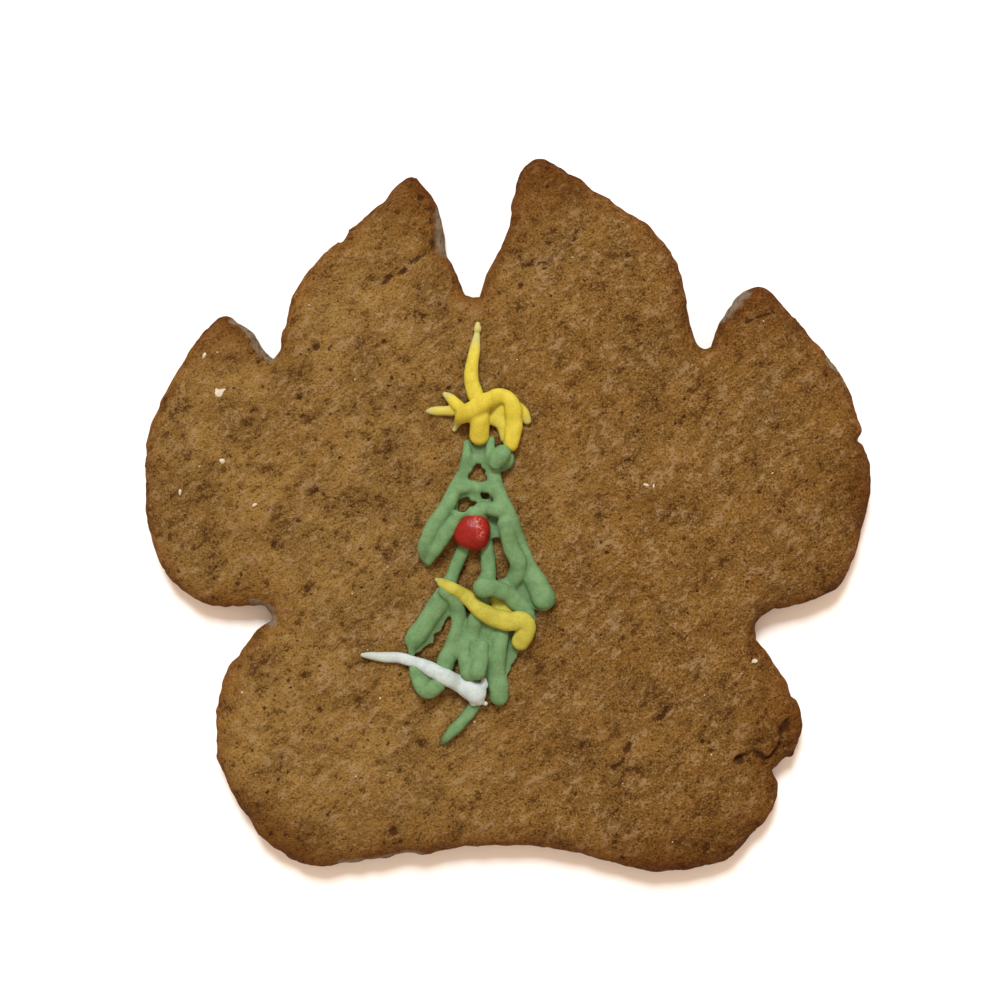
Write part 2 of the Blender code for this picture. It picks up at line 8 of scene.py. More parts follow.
import bmesh
import bpy
import numpy as np
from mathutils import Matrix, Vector
from mathutils.geometry import delaunay_2d_cdt
from mathutils.kdtree import KDTree


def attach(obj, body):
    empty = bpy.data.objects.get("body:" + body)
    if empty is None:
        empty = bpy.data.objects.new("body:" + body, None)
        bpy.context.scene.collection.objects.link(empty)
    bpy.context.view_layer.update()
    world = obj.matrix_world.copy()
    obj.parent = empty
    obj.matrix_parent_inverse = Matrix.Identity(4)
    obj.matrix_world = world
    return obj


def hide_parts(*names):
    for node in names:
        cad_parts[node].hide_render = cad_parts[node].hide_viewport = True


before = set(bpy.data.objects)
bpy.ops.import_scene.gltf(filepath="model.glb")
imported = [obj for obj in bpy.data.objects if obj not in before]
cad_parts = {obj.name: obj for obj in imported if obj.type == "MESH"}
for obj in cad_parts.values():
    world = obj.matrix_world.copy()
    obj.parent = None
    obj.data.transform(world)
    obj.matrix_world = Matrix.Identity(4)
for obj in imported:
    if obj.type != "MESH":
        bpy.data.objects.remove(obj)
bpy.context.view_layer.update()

MM = 0.001

# Cookie: heights, edge and outline, as in the part
CENTRE_HEIGHT = 7.2
SHOULDER_HEIGHT = 5.9
CROWN_REACH = 11.0
RIM_HEIGHT = 2.6
EDGE_ROUND = 4.2
EDGE_POWER = 2.3
OUTLINE_RUNS = {
    "toe_1": [
        (-36.0, -13.6), (-38.9, -13.5), (-42.4, -13.6), (-45.0, -13.3), (-48.1, -11.5), (-50.4, -9.2),
        (-53.3, -2.7), (-54.2, 5.5), (-53.2, 13.1), (-50.5, 18.8), (-47.3, 24.2), (-44.7, 27.8),
        (-43.0, 29.5), (-41.8, 29.9), (-40.9, 29.5), (-40.3, 29.0), (-39.0, 28.4), (-36.7, 25.7),
        (-34.9, 23.6)],
    "toe_2": [
        (-34.9, 23.6), (-34.1, 24.4), (-33.5, 27.5), (-32.2, 31.5), (-29.7, 36.3), (-27.6, 38.9),
        (-25.1, 40.8)],
    "toe_2_nick": [(-25.1, 40.8), (-24.5, 40.8), (-23.6, 42.1), (-23.5, 42.7)],
    "toe_2_tip": [
        (-23.5, 42.7), (-20.8, 45.0), (-17.8, 48.0), (-15.9, 49.9), (-14.8, 50.5), (-13.7, 50.5),
        (-12.8, 49.9), (-10.3, 46.3), (-9.4, 43.5), (-9.0, 39.8), (-8.0, 37.5), (-6.1, 32.9)],
    "claw_gap": [(-6.1, 32.9), (-4.0, 32.8)],
    "toe_3": [
        (-4.0, 32.8), (-1.9, 38.2), (0.2, 42.7), (1.4, 48.4), (2.1, 51.1), (3.0, 52.5), (4.4, 53.4),
        (5.9, 53.4), (8.1, 52.1), (14.2, 48.0), (20.3, 44.1), (24.2, 40.3), (26.2, 36.0), (27.2, 31.5),
        (28.0, 27.4), (29.2, 25.1), (30.0, 24.9), (30.7, 25.2)],
    "toe_4": [
        (30.7, 25.2), (31.9, 28.5), (34.0, 31.6), (36.0, 33.6), (37.6, 34.1), (39.6, 33.1), (40.9, 31.7),
        (46.2, 26.3), (50.6, 19.7), (52.5, 14.6), (53.1, 12.6), (52.6, 11.2)],
    "toe_4_side": [
        (52.6, 11.2), (53.3, 10.7), (53.9, 9.4), (54.3, 4.0), (53.3, -1.9), (51.2, -8.3), (48.6, -11.4),
        (46.9, -12.5), (44.5, -13.3), (41.9, -13.8), (40.0, -14.0)],
    "right_notch": [(40.0, -14.0), (38.9, -14.6), (37.5, -16.3), (37.4, -18.0), (37.5, -18.7)],
    "pad_right": [(37.5, -18.7), (38.9, -20.4), (40.0, -22.4), (42.0, -24.8), (42.8, -27.0)],
    "pad_lobe": [(42.8, -27.0), (43.5, -27.6), (44.2, -30.6), (43.9, -33.4), (42.8, -36.0), (41.9, -36.2)],
    "crack": [(41.9, -36.2), (40.0, -38.2)],
    "pad": [
        (40.0, -38.2), (40.9, -40.9), (40.3, -43.5), (39.2, -45.1), (35.2, -49.8), (31.6, -52.0),
        (27.6, -53.1), (24.6, -53.4), (22.0, -53.2), (15.6, -52.0), (9.1, -50.2), (5.1, -49.5),
        (-1.4, -49.1), (-5.9, -49.9), (-10.4, -50.3), (-12.5, -50.9), (-15.5, -50.8), (-20.4, -51.4),
        (-25.9, -52.2), (-28.6, -52.3), (-33.4, -50.7), (-41.9, -39.7), (-43.3, -32.2), (-42.2, -24.9),
        (-41.3, -22.0), (-40.3, -21.1)],
    "left_notch": [
        (-40.3, -21.1), (-40.0, -20.5), (-37.2, -17.4), (-35.2, -15.6), (-35.1, -14.8), (-36.0, -13.6)],
}
WOBBLE = 0.12
WOBBLE_SIZE = 2.6
# Swells of the top: size, height, seed
BUMPS = [(13.0, 0.55, 11), (6.5, 0.42, 12)]

# Cookie: its mesh, and the finer relief that only the looks have
RIM_STEP = 0.38
FINE_STEP = 0.1
GRID_STEP = 0.37
# Insets of the rings of points along the top's edge
EDGE_RINGS = (0.04, 0.13, 0.3, 0.52, 0.8, 1.12, 1.46)
# Rings down the wall: height and inset
WALL_RINGS = ((2.25, 0.0), (1.9, -0.02), (1.5, 0.0), (1.15, 0.03), (0.85, 0.06), (0.6, 0.14), (0.4, 0.24),
              (0.22, 0.36), (0.08, 0.5))
FOOT_INSET = 0.6
# Lumps of the crumb: size, height, seed
LUMPS = [(3.6, 0.27, 21), (1.9, 0.17, 22), (1.05, 0.12, 23)]
# Broken crust, pits in it, and tears that slant across it, with the painted shade that the pits and tears
# get
BROKEN_DEPTH = 0.10
PIT_DEPTH = 0.30
TEAR_DEPTH = 0.26
TEAR_TURN = 40
TEAR_SIZE = (3.4, 0.95)
PIT_SHADE = 0.45
TEAR_SHADE = 0.6
# Folds and cracks, which also get painted shade: route, depth, half width
CREASES = [
    ([(-18.6, 35.2), (-16.2, 36.5), (-14.0, 38.4), (-11.4, 39.8), (-10.2, 42.4)], 0.55, 0.62),
    ([(1.9, 39.4), (2.3, 37.2), (5.0, 37.9), (7.0, 38.3), (9.2, 40.2), (12.6, 44.2)], 0.42, 0.50),
    ([(36.4, 29.3), (38.2, 29.8), (40.4, 30.9)], 0.55, 0.45),
    ([(-44.0, 26.0), (-42.0, 27.6)], 0.40, 0.45),
    (
     [(34.3, -37.3), (35.8, -36.7), (37.6, -36.0), (39.4, -37.0), (40.6, -36.6), (41.2, -34.6),
      (42.7, -30.6)], 0.95, 0.45),
    ([(16.1, -38.1), (17.6, -35.9), (18.9, -33.6), (21.4, -32.3), (24.6, -28.6)], 0.50, 0.75),
    ([(17.7, 9.9), (19.6, 12.2)], 0.30, 0.45),
    ([(26.0, 9.4), (30.2, 12.8)], 0.30, 0.45),
    ([(-27.6, 9.0), (-24.9, 6.0)], 0.30, 0.40),
    ([(-22.7, -15.0), (-23.4, -20.3)], 0.28, 0.45),
]
# How far a crease wanders off its route, over what length, and how its depth varies
WANDER = 0.5
WANDER_SIZE = 1.5
CREASE_KEPT = 0.62
CREASE_VARIES = 0.45
# Hollows of their own, which also get painted shade: x, y, radius, depth
HOLLOWS = [
    (-17.0, -47.7, 0.85, 0.8), (-12.8, 48.0, 0.75, 0.6), (-35.0, -4.5, 0.6, 0.5), (-29.9, -11.1, 0.9, 0.5),
    (-28.1, -29.3, 0.75, 0.5), (-30.5, -24.2, 0.6, 0.5), (-48.3, 16.1, 0.45, 0.4), (18.3, 39.0, 0.6, 0.5),
    (-28.6, 25.2, 0.75, 0.7), (-29.7, 24.8, 0.4, 0.5), (-26.6, 24.8, 0.35, 0.5), (-26.3, 21.7, 0.45, 0.5),
    (-40.5, -10.4, 0.55, 0.5), (-44.0, -9.6, 0.35, 0.4), (2.1, 34.6, 0.5, 0.45), (-10.0, 31.8, 0.5, 0.4),
    (-12.4, 30.0, 0.35, 0.35), (-42.9, 4.5, 0.4, 0.35), (35.3, -36.9, 0.9, 0.8), (29.5, -34.0, 0.5, 0.6),
    (30.5, -34.2, 0.35, 0.5), (15.8, -38.0, 0.4, 0.5),
]
PORES = 1700
PORE_RADII = (0.17, 0.46)
PORE_SEED = 31
PORE_CROWD_SIZE = 7.0
PORE_INSET = 1.2
# Near the edge, hollows grow shallower over this distance
HOLLOW_RISE = 1.5
# Places darker than the rest, baked darker at the claws and sides, and with painted shade along the bottom
# edge: x, y, reach
BAKED_AND_SHADED_SPOTS = [
    (-42.0, 29.0, 11), (-13.0, 49.0, 14), (6.0, 52.0, 17), (38.0, 33.5, 13), (41.5, -33.0, 13),
    (-14.0, -53.0, 14), (-31.0, -51.0, 11), (53.0, 5.0, 10), (34.0, -50.0, 15), (-38.0, -46.0, 9),
    (22.0, -53.0, 11),
]
SPOT_DARKENING = 0.86
BAKED_EDGE = 0.35
BAKED_EDGE_REACH = 2.6
BAKED_BLOTCHES = 0.25
BLOTCH_SIZE = 6.0
RIM_REACH = 1.4

# Stretches of the edge with flour on the wall, as (path, reach), and their raggedness
FLOURY = [
    ([(-40.1, 29.0), (-38.8, 28.4), (-36.6, 25.6), (-35.2, 23.9)], 1.15),
    ([(-9.6, 44.6), (-9.2, 41.6), (-9.1, 39.6)], 1.25),
    ([(-37.3, -13.3), (-36.2, -13.7), (-35.2, -14.8), (-35.1, -15.6)], 1.1),
    ([(32.4, 29.4), (33.4, 30.8), (35.4, 33.0)], 1.0),
    ([(48.3, 23.2), (49.8, 21.3), (50.7, 19.8)], 0.85),
    ([(-24.4, -52.0), (-15.5, -50.8), (-12.5, -50.9)], 0.7),
]
FLOUR_RAGGED = 0.35

# Icing: sections and piling up, as in the part, and its finer mesh
STRAND_HALF_HEIGHT = 0.40
STRAND_LIFT = 0.27
PILE_KEPT = 0.80
PILE_SPREAD = 0.25
PILE_SMOOTHING = 1.6
STRAND_STEP = 0.2
GREEN = "icing_tree_green"
YELLOW = "icing_garland_yellow"
STAR = "icing_star_yellow"
WHITE = "icing_garland_white"
BAUBLE = "icing_bauble_red"
# Strands in the order of piping, as node, name and points with (x, y, width)
STRANDS = [
    (GREEN, "top_film", [(-5.4, 9.2, 2.2), (-3.9, 9.0, 2.8), (-2.4, 9.2, 2.2)]),
    (GREEN, "left_fill", [(-7.3, 2.2, 2.0), (-8.8, -0.6, 3.0), (-10.4, -3.4, 3.2), (-11.3, -5.0, 2.2)]),
    (GREEN, "right_fill", [(-1.7, 3.2, 2.4), (-1.5, 0.9, 3.0), (-1.0, -1.8, 3.0)]),
    (GREEN, "left_outer",
     [(-5.9, 10.6, 0.9), (-5.9, 9.0, 1.4), (-6.4, 6.6, 1.7), (-7.4, 4.4, 2.1), (-8.4, 2.1, 2.2),
      (-9.6, 0.2, 2.2), (-10.8, -1.5, 2.2), (-11.6, -3.2, 2.2), (-12.2, -5.0, 2.2), (-12.0, -6.6, 1.4),
      (-11.7, -7.6, 0.5)]),
    (GREEN, "left_inner",
     [(-5.4, 0.8, 1.8), (-7.0, -0.4, 2.0), (-8.5, -2.1, 2.1), (-9.6, -3.8, 2.0), (-10.7, -5.4, 1.7),
      (-11.5, -7.0, 0.8)]),
    (GREEN, "right_outer",
     [(-2.3, 11.2, 1.2), (-2.4, 8.4, 1.7), (-1.9, 6.1, 2.0), (-1.4, 4.2, 2.1), (-0.7, 2.1, 2.4),
      (0.1, 0.1, 2.7), (1.0, -2.4, 2.8), (2.1, -5.2, 2.7), (3.2, -7.8, 2.7), (4.5, -10.2, 3.2),
      (5.5, -12.3, 3.6)]),
    (GREEN, "right_lump", [(0.2, 9.3, 1.4), (0.1, 8.2, 2.1), (-0.4, 7.2, 1.5)]),
    (GREEN, "right_ball", [(-0.6, 9.2, 2.5), (-1.1, 8.6, 2.8), (-1.6, 7.8, 2.2)]),
    (GREEN, "upper_bar", [(-7.0, 3.9, 1.6), (-5.2, 4.2, 1.9), (-3.9, 4.1, 1.7), (-2.1, 3.7, 1.8)]),
    (GREEN, "upper_link", [(-4.3, 3.8, 1.3), (-4.1, 2.4, 1.1), (-3.9, 1.1, 1.9)]),
    (GREEN, "lower_bar", [(-7.2, 0.0, 1.6), (-5.4, 0.7, 1.8), (-3.3, 1.1, 1.9), (-1.2, 0.6, 2.0)]),
    (GREEN, "inner_right",
     [(-4.2, 0.4, 2.1), (-3.4, -2.5, 2.2), (-2.9, -5.0, 2.2), (-2.7, -7.0, 2.3), (-2.7, -9.0, 2.4),
      (-3.3, -10.5, 2.8)]),
    (GREEN, "inner_left",
     [(-4.9, 0.1, 1.8), (-5.7, -2.2, 1.9), (-6.5, -5.2, 2.0), (-7.5, -7.5, 2.0), (-8.2, -9.4, 2.0),
      (-9.3, -11.8, 2.9), (-10.9, -14.4, 3.0), (-12.7, -17.1, 3.0), (-13.9, -18.7, 2.8)]),
    (GREEN, "left_tail",
     [(-14.0, -18.8, 1.2), (-14.2, -20.6, 1.0), (-14.1, -22.3, 1.1), (-13.8, -23.6, 1.5)]),
    (GREEN, "second_leg",
     [(-9.2, -11.4, 1.8), (-7.6, -12.9, 2.2), (-7.1, -16.0, 2.4), (-7.8, -19.2, 2.5), (-8.9, -21.6, 2.7),
      (-9.6, -23.8, 2.7), (-10.5, -25.3, 2.5)]),
    (GREEN, "second_foot",
     [(-10.2, -25.3, 2.4), (-11.7, -26.1, 2.6), (-13.0, -25.0, 2.2), (-13.8, -23.2, 1.3)]),
    (GREEN, "low_right", [(1.6, -17.6, 1.9), (0.9, -20.4, 1.7), (0.1, -22.6, 1.5)]),
    (GREEN, "low_middle",
     [(-3.6, -10.6, 1.8), (-3.5, -13.4, 2.2), (-2.6, -17.2, 2.6), (-2.7, -21.0, 2.1), (-3.3, -23.6, 1.6)]),
    (GREEN, "fourth_leg",
     [(-0.6, -17.2, 2.4), (-1.3, -21.0, 2.6), (-1.5, -23.6, 2.8), (-1.2, -25.7, 3.1), (-1.1, -27.0, 3.0)]),
    (GREEN, "trunk",
     [(-3.3, -21.2, 1.6), (-4.1, -24.4, 1.8), (-4.0, -26.7, 1.9), (-5.0, -28.8, 1.9), (-6.1, -30.3, 1.8),
      (-7.8, -32.1, 1.8), (-9.0, -33.4, 1.3), (-9.6, -34.2, 0.6)]),
    (GREEN, "loop",
     [(-0.3, -1.3, 2.1), (0.8, -5.0, 2.5), (1.8, -7.3, 2.5), (1.3, -9.3, 2.5), (-0.1, -10.7, 2.4),
      (-1.8, -10.9, 2.2), (-3.3, -10.7, 2.2)]),
    (GREEN, "loop_fill", [(1.8, -9.8, 1.8), (3.0, -12.3, 1.8), (3.8, -14.4, 1.6)]),
    (WHITE, "white_swipe",
     [(-21.6, -21.0, 0.6), (-20.2, -21.1, 1.2), (-18.4, -21.3, 1.6), (-15.9, -21.4, 1.6),
      (-13.2, -22.2, 1.8), (-10.5, -23.4, 2.3), (-8.1, -24.6, 2.5), (-6.2, -25.6, 2.8),
      (-4.6, -26.4, 3.3)]),
    (GREEN, "third_leg",
     [(-4.2, -14.5, 2.2), (-4.9, -16.9, 2.6), (-5.5, -19.5, 2.9), (-5.6, -21.8, 3.2), (-5.3, -23.2, 3.2)]),
    (GREEN, "third_return", [(-4.3, -23.2, 2.6), (-3.8, -21.5, 2.2), (-3.5, -19.5, 1.8)]),
    (YELLOW, "garland_under",
     [(-1.9, -12.6, 1.8), (-0.4, -13.8, 2.4), (0.9, -14.6, 2.4), (2.1, -15.4, 2.0)]),
    (GREEN, "over_loop",
     [(-3.4, -10.7, 2.9), (-1.8, -10.8, 2.4), (-0.1, -11.6, 2.5), (1.4, -12.9, 2.6), (2.8, -14.4, 2.4),
      (3.6, -15.4, 1.6)]),
    (YELLOW, "garland_over",
     [(-10.5, -9.6, 0.6), (-9.3, -10.3, 1.5), (-7.6, -11.1, 1.9), (-5.7, -12.4, 2.2), (-3.8, -14.1, 2.5),
      (-1.6, -15.3, 2.7), (0.6, -15.8, 2.9), (2.2, -15.6, 2.9), (3.0, -16.5, 2.8), (2.6, -17.8, 2.9),
      (2.1, -18.8, 2.6)]),
    (STAR, "star_bar",
     [(-11.8, 15.6, 0.6), (-10.9, 15.6, 1.3), (-9.2, 15.6, 1.5), (-6.9, 15.6, 1.6), (-3.9, 15.1, 1.8),
      (-0.9, 15.6, 1.8), (1.2, 16.2, 1.9), (2.4, 15.3, 1.8), (3.1, 14.2, 1.3)]),
    (STAR, "star_diagonal",
     [(-9.2, 18.1, 0.8), (-8.4, 17.5, 1.4), (-7.2, 16.3, 1.7), (-6.0, 15.4, 1.8), (-3.9, 14.4, 1.9),
      (-1.8, 14.1, 1.5), (-0.7, 13.2, 1.6), (-0.2, 11.5, 1.6)]),
    (STAR, "star_spike",
     [(-4.3, 28.7, 0.7), (-4.3, 28.1, 0.9), (-4.4, 27.3, 0.8), (-4.5, 26.4, 1.2), (-4.8, 24.5, 1.7),
      (-5.2, 22.0, 2.0), (-5.2, 20.0, 2.2), (-4.7, 18.2, 2.4), (-4.1, 16.5, 2.5), (-4.0, 14.2, 2.8),
      (-4.0, 11.9, 3.0)]),
    (STAR, "star_loop",
     [(-7.8, 12.8, 0.7), (-7.4, 13.4, 0.8), (-7.0, 14.2, 1.5), (-6.1, 15.0, 2.6), (-4.4, 16.0, 2.6),
      (-2.6, 17.1, 2.5), (-0.7, 17.7, 2.4), (0.7, 16.8, 2.4), (1.1, 14.8, 2.5), (1.0, 12.3, 2.5),
      (0.7, 10.6, 2.2)]),
]
# The bauble's lobes, as (x, y, radius), and its height as a share of its width
BAUBLE_LOBES = [(-4.8, -2.2, 2.45), (-5.8, -2.7, 2.15), (-4.5, -3.35, 1.95)]
BAUBLE_HEIGHT = 0.78
BAUBLE_LIFT = 0.45
# A streak of painted highlight down the bauble, broken up by noise
HIGHLIGHT_STREAK = [(-4.3, -0.7), (-3.9, -1.7), (-3.8, -2.9)]
HIGHLIGHT_STREAK_REACH = 0.5
# Folds and piping were placed as seen from above, where the top looks larger than the outline
TOP_SCALE = 0.982
TOP_CENTRE = (-0.9, 2.2)

# Only in the looks: sheets between the strands, as (node, outline, height over the cookie)
SHEETS = [
    (GREEN,
     [(-6.0, 9.0), (-6.9, 6.2), (-8.2, 4.4), (-9.2, 1.9), (-10.4, 0.0), (-11.7, -1.5), (-12.2, -3.2),
      (-13.1, -4.6), (-13.0, -5.5), (-12.2, -6.6), (-11.7, -7.6), (-11.4, -6.7), (-10.6, -6.0),
      (-9.9, -4.8), (-9.0, -3.6), (-7.9, -2.5), (-5.9, -3.5), (-3.9, -3.8), (-1.9, -3.4), (-0.5, -3.5),
      (0.3, -2.2), (1.3, -0.5), (0.1, 1.2), (-0.6, 3.0), (-1.1, 5.0), (-1.2, 6.8), (-2.3, 9.0)], 1.25),
    (GREEN, [(-6.0, 10.6), (-2.3, 11.1), (-1.9, 9.0), (-2.9, 7.0), (-5.9, 7.0)], 0.75),
    (GREEN,
     [(-4.9, -15.0), (0.1, -17.0), (-0.9, -18.8), (-2.3, -20.8), (-2.8, -23.2), (-3.6, -24.5),
      (-5.5, -24.4), (-5.0, -19.0)], 0.95),
    (GREEN, [(-5.2, -18.5), (-4.0, -18.9), (-3.3, -21.2), (-3.6, -23.7), (-5.2, -24.2)], 2.5),
    (GREEN,
     [(0.1, -17.0), (2.0, -18.4), (2.0, -20.2), (1.3, -21.8), (0.5, -23.2), (-0.2, -24.3), (-1.4, -24.0),
      (-1.2, -17.0)], 0.9),
    (GREEN,
     [(1.6, -10.8), (3.1, -8.3), (7.2, -13.0), (6.0, -14.4), (4.1, -14.0), (3.8, -15.1), (2.6, -14.2),
      (1.3, -11.8)], 0.9),
    (GREEN,
     [(-7.4, -13.6), (-8.8, -15.5), (-9.6, -16.5), (-9.9, -17.5), (-10.8, -18.0), (-11.0, -19.0),
      (-12.2, -19.8), (-13.4, -20.6), (-14.2, -20.4), (-14.3, -18.0), (-12.2, -15.0), (-10.5, -12.2),
      (-8.4, -11.8)], 0.8),
    (GREEN,
     [(-13.7, -23.6), (-13.2, -25.2), (-12.2, -26.7), (-11.3, -27.2), (-9.9, -26.5), (-9.5, -25.2),
      (-10.9, -24.2), (-12.2, -23.6), (-13.4, -23.0)], 1.25),
    (YELLOW, [(-1.9, -12.0), (1.1, -14.0), (0.6, -15.6), (-0.9, -15.4), (-2.4, -13.5)], 1.35),
    (STAR, [(-3.5, 15.7), (-0.2, 15.7), (0.2, 13.2), (-1.4, 13.3), (-3.3, 13.7)], 1.0),
]
# Strands that only fill the part out: sheets show in their places
FILLERS = ("top_film", "left_fill", "right_fill", "low_right", "loop_fill")
# Holes that burst through the sheets
HOLES = [
    [(-5.6, 5.5), (-5.6, 6.1), (-5.1, 6.5), (-4.9, 7.1), (-4.4, 7.6), (-3.8, 7.6), (-3.6, 7.1), (-3.2, 6.7),
     (-3.2, 6.1), (-2.9, 5.5), (-3.0, 5.1), (-4.0, 5.0), (-5.0, 5.2)],
    [(-7.1, 2.0), (-6.8, 2.5), (-6.1, 2.9), (-5.8, 2.6), (-5.3, 2.2), (-4.5, 1.8), (-4.8, 1.2), (-5.4, 1.1),
     (-5.9, 0.7), (-6.5, 0.3), (-7.1, 0.6), (-7.2, 1.4)],
    [(-3.7, 3.1), (-3.4, 3.3), (-2.7, 3.3), (-2.5, 3.0), (-2.7, 2.5), (-3.2, 2.3), (-3.5, 2.6)],
]
# Points and drops that stand out of the icing: node, x, y, height over the cookie, radius
NUBS = [
    (WHITE, -3.4, -24.6, 1.7, 0.5), (WHITE, -3.3, -25.3, 1.6, 0.6), (WHITE, -3.1, -28.1, 1.3, 0.35),
    (WHITE, -4.9, -28.0, 1.5, 0.5), (WHITE, -4.0, -27.6, 1.6, 0.7), (STAR, -4.3, 27.9, 0.4, 0.45),
    (GREEN, -5.9, 10.8, 0.7, 0.4), (GREEN, -14.0, -23.8, 0.8, 0.35), (GREEN, -13.9, -22.9, 0.9, 0.4),
]
SHEET_SOLE = 0.8
HOLE_BLEND = 0.35
RAGGED = 0.16
# The icing's block: its points' spacing, the room round the icing, and the distance in empty space
CELL = 0.146
ROOM = 1.2
MARGIN = 0.6
FAR = 9.0
# Pieces of icing: name, how softly strands run into each other, and how square their sections are
ICING = {
    GREEN: ("piped_tree", 0.48, 2.3), WHITE: ("piped_white_swipe", 0.35, 2.3),
    YELLOW: ("piped_garland", 0.3, 2.4), STAR: ("piped_star", 0.42, 2.5), BAUBLE: ("piped_bauble", 0.5, 2.0),
}
ICING_SMOOTHING = 2
# Roughness of the icing's skin, as (size, height, seed), and of its width along a strand
ICING_LUMPS = [(1.3, 0.045, 61), (0.55, 0.018, 62), (0.3, 0.007, 63)]
UNEVEN = 0.06
UNEVEN_SIZE = 1.3
# Half widths and heights over which icing turns from thin to full
THIN_STRAND = (0.42, 0.82)
THIN_LAYER = (0.4, 1.25)

# White marks on the cookie: x, y, length, width, turn in degrees
FLAKES = [
    (-42.6, 18.5, 2.5, 1.6, 20), (-45.4, 24.0, 0.8, 0.5, 60), (20.9, 4.5, 0.9, 0.6, 10),
    (22.0, 4.3, 0.7, 0.5, 50), (37.5, -22.0, 0.9, 0.6, 30), (-49.0, 3.4, 0.9, 0.5, 80),
    (-37.7, 1.5, 0.8, 0.5, 20), (-42.6, 8.1, 0.8, 0.7, 30),
]
GRAINS = 45
GRAIN_SIZES = (0.16, 0.42)
GRAIN_INSET = 2.5
GRAIN_SEED = 41
FLAKE_THICKNESS = 0.22

# Crumb colours: at the lit left and the browner right, then its patches and grains, a painted highlight for
# ridges, painted shade for crevices, specks and hollows, and its marks
CRUMB_LEFT, CRUMB_RIGHT = (0.306, 0.186, 0.050), (0.224, 0.115, 0.023)
BROWN_PATCH, DARK_PATCH, BROKEN = (0.16, 0.08, 0.016), (0.12, 0.056, 0.011), (0.122, 0.066, 0.017)
GRIT_DARK, GRIT_LIGHT, RIDGE_HIGHLIGHT = (0.082, 0.035, 0.008), (0.34, 0.218, 0.10), (0.345, 0.23, 0.11)
CREVICE_SHADE, SPECK_SHADE, HOLLOW_SHADE = (0.056, 0.022, 0.005), (0.034, 0.012, 0.005), (0.055, 0.019, 0.006)
SUGAR_BIT, WALL_FLOUR = (0.42, 0.32, 0.20), (0.225, 0.185, 0.130)
# Tints by which baking, with painted shade along the bottom edge, multiplies them
BAKE_AND_SHADE_TINT, RIM_TINT = (0.60, 0.46, 0.30), (0.78, 0.53, 0.22)
# Icing paints: material, slot, colours where lit, deep and thin, roughness, shine
PAINTS = {
    GREEN: ("icing_green", "icing_green",
            (0.120, 0.230, 0.101), (0.088, 0.180, 0.076), (0.070, 0.118, 0.048), 0.58, 0.22),
    YELLOW: ("icing_yellow", "icing_yellow",
             (0.372, 0.350, 0.047), (0.320, 0.295, 0.034), (0.36, 0.34, 0.12), 0.55, 0.22),
    STAR: ("icing_yellow_star", "icing_yellow",
           (0.475, 0.405, 0.037), (0.415, 0.340, 0.026), (0.38, 0.37, 0.13), 0.55, 0.22),
    WHITE: ("icing_white", "icing_white",
            (0.41, 0.485, 0.49), (0.34, 0.41, 0.42), (0.34, 0.38, 0.34), 0.55, 0.22),
    BAUBLE: ("icing_red", "icing_red",
             (0.246, 0.008, 0.005), (0.190, 0.005, 0.003), (0.26, 0.010, 0.006), 0.30, 0.26),
}
# Colour of the painted highlight streak on the bauble
HIGHLIGHT_STREAK_COLOUR = (0.50, 0.21, 0.16)

# The hash behind the noise in space: its multipliers and the bits kept
HASH = (374761393, 668265263, 2246822519, 3266489917)
HASH_BITS = 0xFFFFFFFF

# Floor, camera and light: the floor's size and the light's place and size are in metres
FLOOR_SIZE = 4.0
SENSOR_WIDTH = 36.0
FRAME_MM = 149.8
CAMERA_HEIGHT = 245.0
CAMERA_AIM = (-0.95, 2.17, 3.0)
KEY_WATTS = 15.5
KEY_COLOUR = (0.94, 0.98, 1.0)
KEY_PLACE = (-0.10, 0.72, 0.95)
KEY_SIZE = 0.30
WORLD_COLOUR = (0.94, 0.695, 0.515)


def drawn_in(points):
    """Places on the top as seen from above, moved to where they are, with widths made smaller alike."""
    p = np.array(points, float)
    p[:, :2] = TOP_CENTRE + (p[:, :2] - TOP_CENTRE) * TOP_SCALE
    p[:, 2:] *= TOP_SCALE
    return p


def spline(points, step):
    """Points about step apart on the centripetal curve through points, with all their coordinates."""
    p = np.array(points, float)
    p = np.vstack([2 * p[0] - p[1], p, 2 * p[-1] - p[-2]])
    knots = np.concatenate([[0], np.cumsum(np.linalg.norm(np.diff(p[:, :2], axis=0), axis=1) ** 0.5)])
    dense = []
    for i in range(1, len(p) - 2):
        k0, k1, k2, k3 = knots[i - 1:i + 3]
        for t in np.linspace(k1, k2, 24, endpoint=False):
            a1 = ((k1 - t) * p[i - 1] + (t - k0) * p[i]) / (k1 - k0)
            a2 = ((k2 - t) * p[i] + (t - k1) * p[i + 1]) / (k2 - k1)
            a3 = ((k3 - t) * p[i + 1] + (t - k2) * p[i + 2]) / (k3 - k2)
            b1 = ((k2 - t) * a1 + (t - k0) * a2) / (k2 - k0)
            b2 = ((k3 - t) * a2 + (t - k1) * a3) / (k3 - k1)
            dense.append(((k2 - t) * b1 + (t - k1) * b2) / (k2 - k1))
    dense = np.array(dense + [p[-2]])
    along = np.concatenate([[0], np.cumsum(np.linalg.norm(np.diff(dense[:, :2], axis=0), axis=1))])
    stations = np.linspace(0, along[-1], max(2, round(along[-1] / step) + 1))
    return np.column_stack([np.interp(stations, along, dense[:, k]) for k in range(dense.shape[1])])


def noise_field(x, y, size, seed):
    """Smooth random relief from -1 to 1 with bumps about size across, the same on every run."""
    lattice = np.random.default_rng(seed).uniform(-1.0, 1.0, (64, 64))
    u, v = np.asarray(x, float) / size + 32.0, np.asarray(y, float) / size + 32.0
    column, row = np.floor(u).astype(int), np.floor(v).astype(int)
    s, t = u - column, v - row
    s, t = s * s * (3 - 2 * s), t * t * (3 - 2 * t)

    def corner(i, j):
        return lattice[(column + i) % 64, (row + j) % 64]

    near = corner(0, 0) * (1 - s) + corner(1, 0) * s
    far = corner(0, 1) * (1 - s) + corner(1, 1) * s
    return near * (1 - t) + far * t


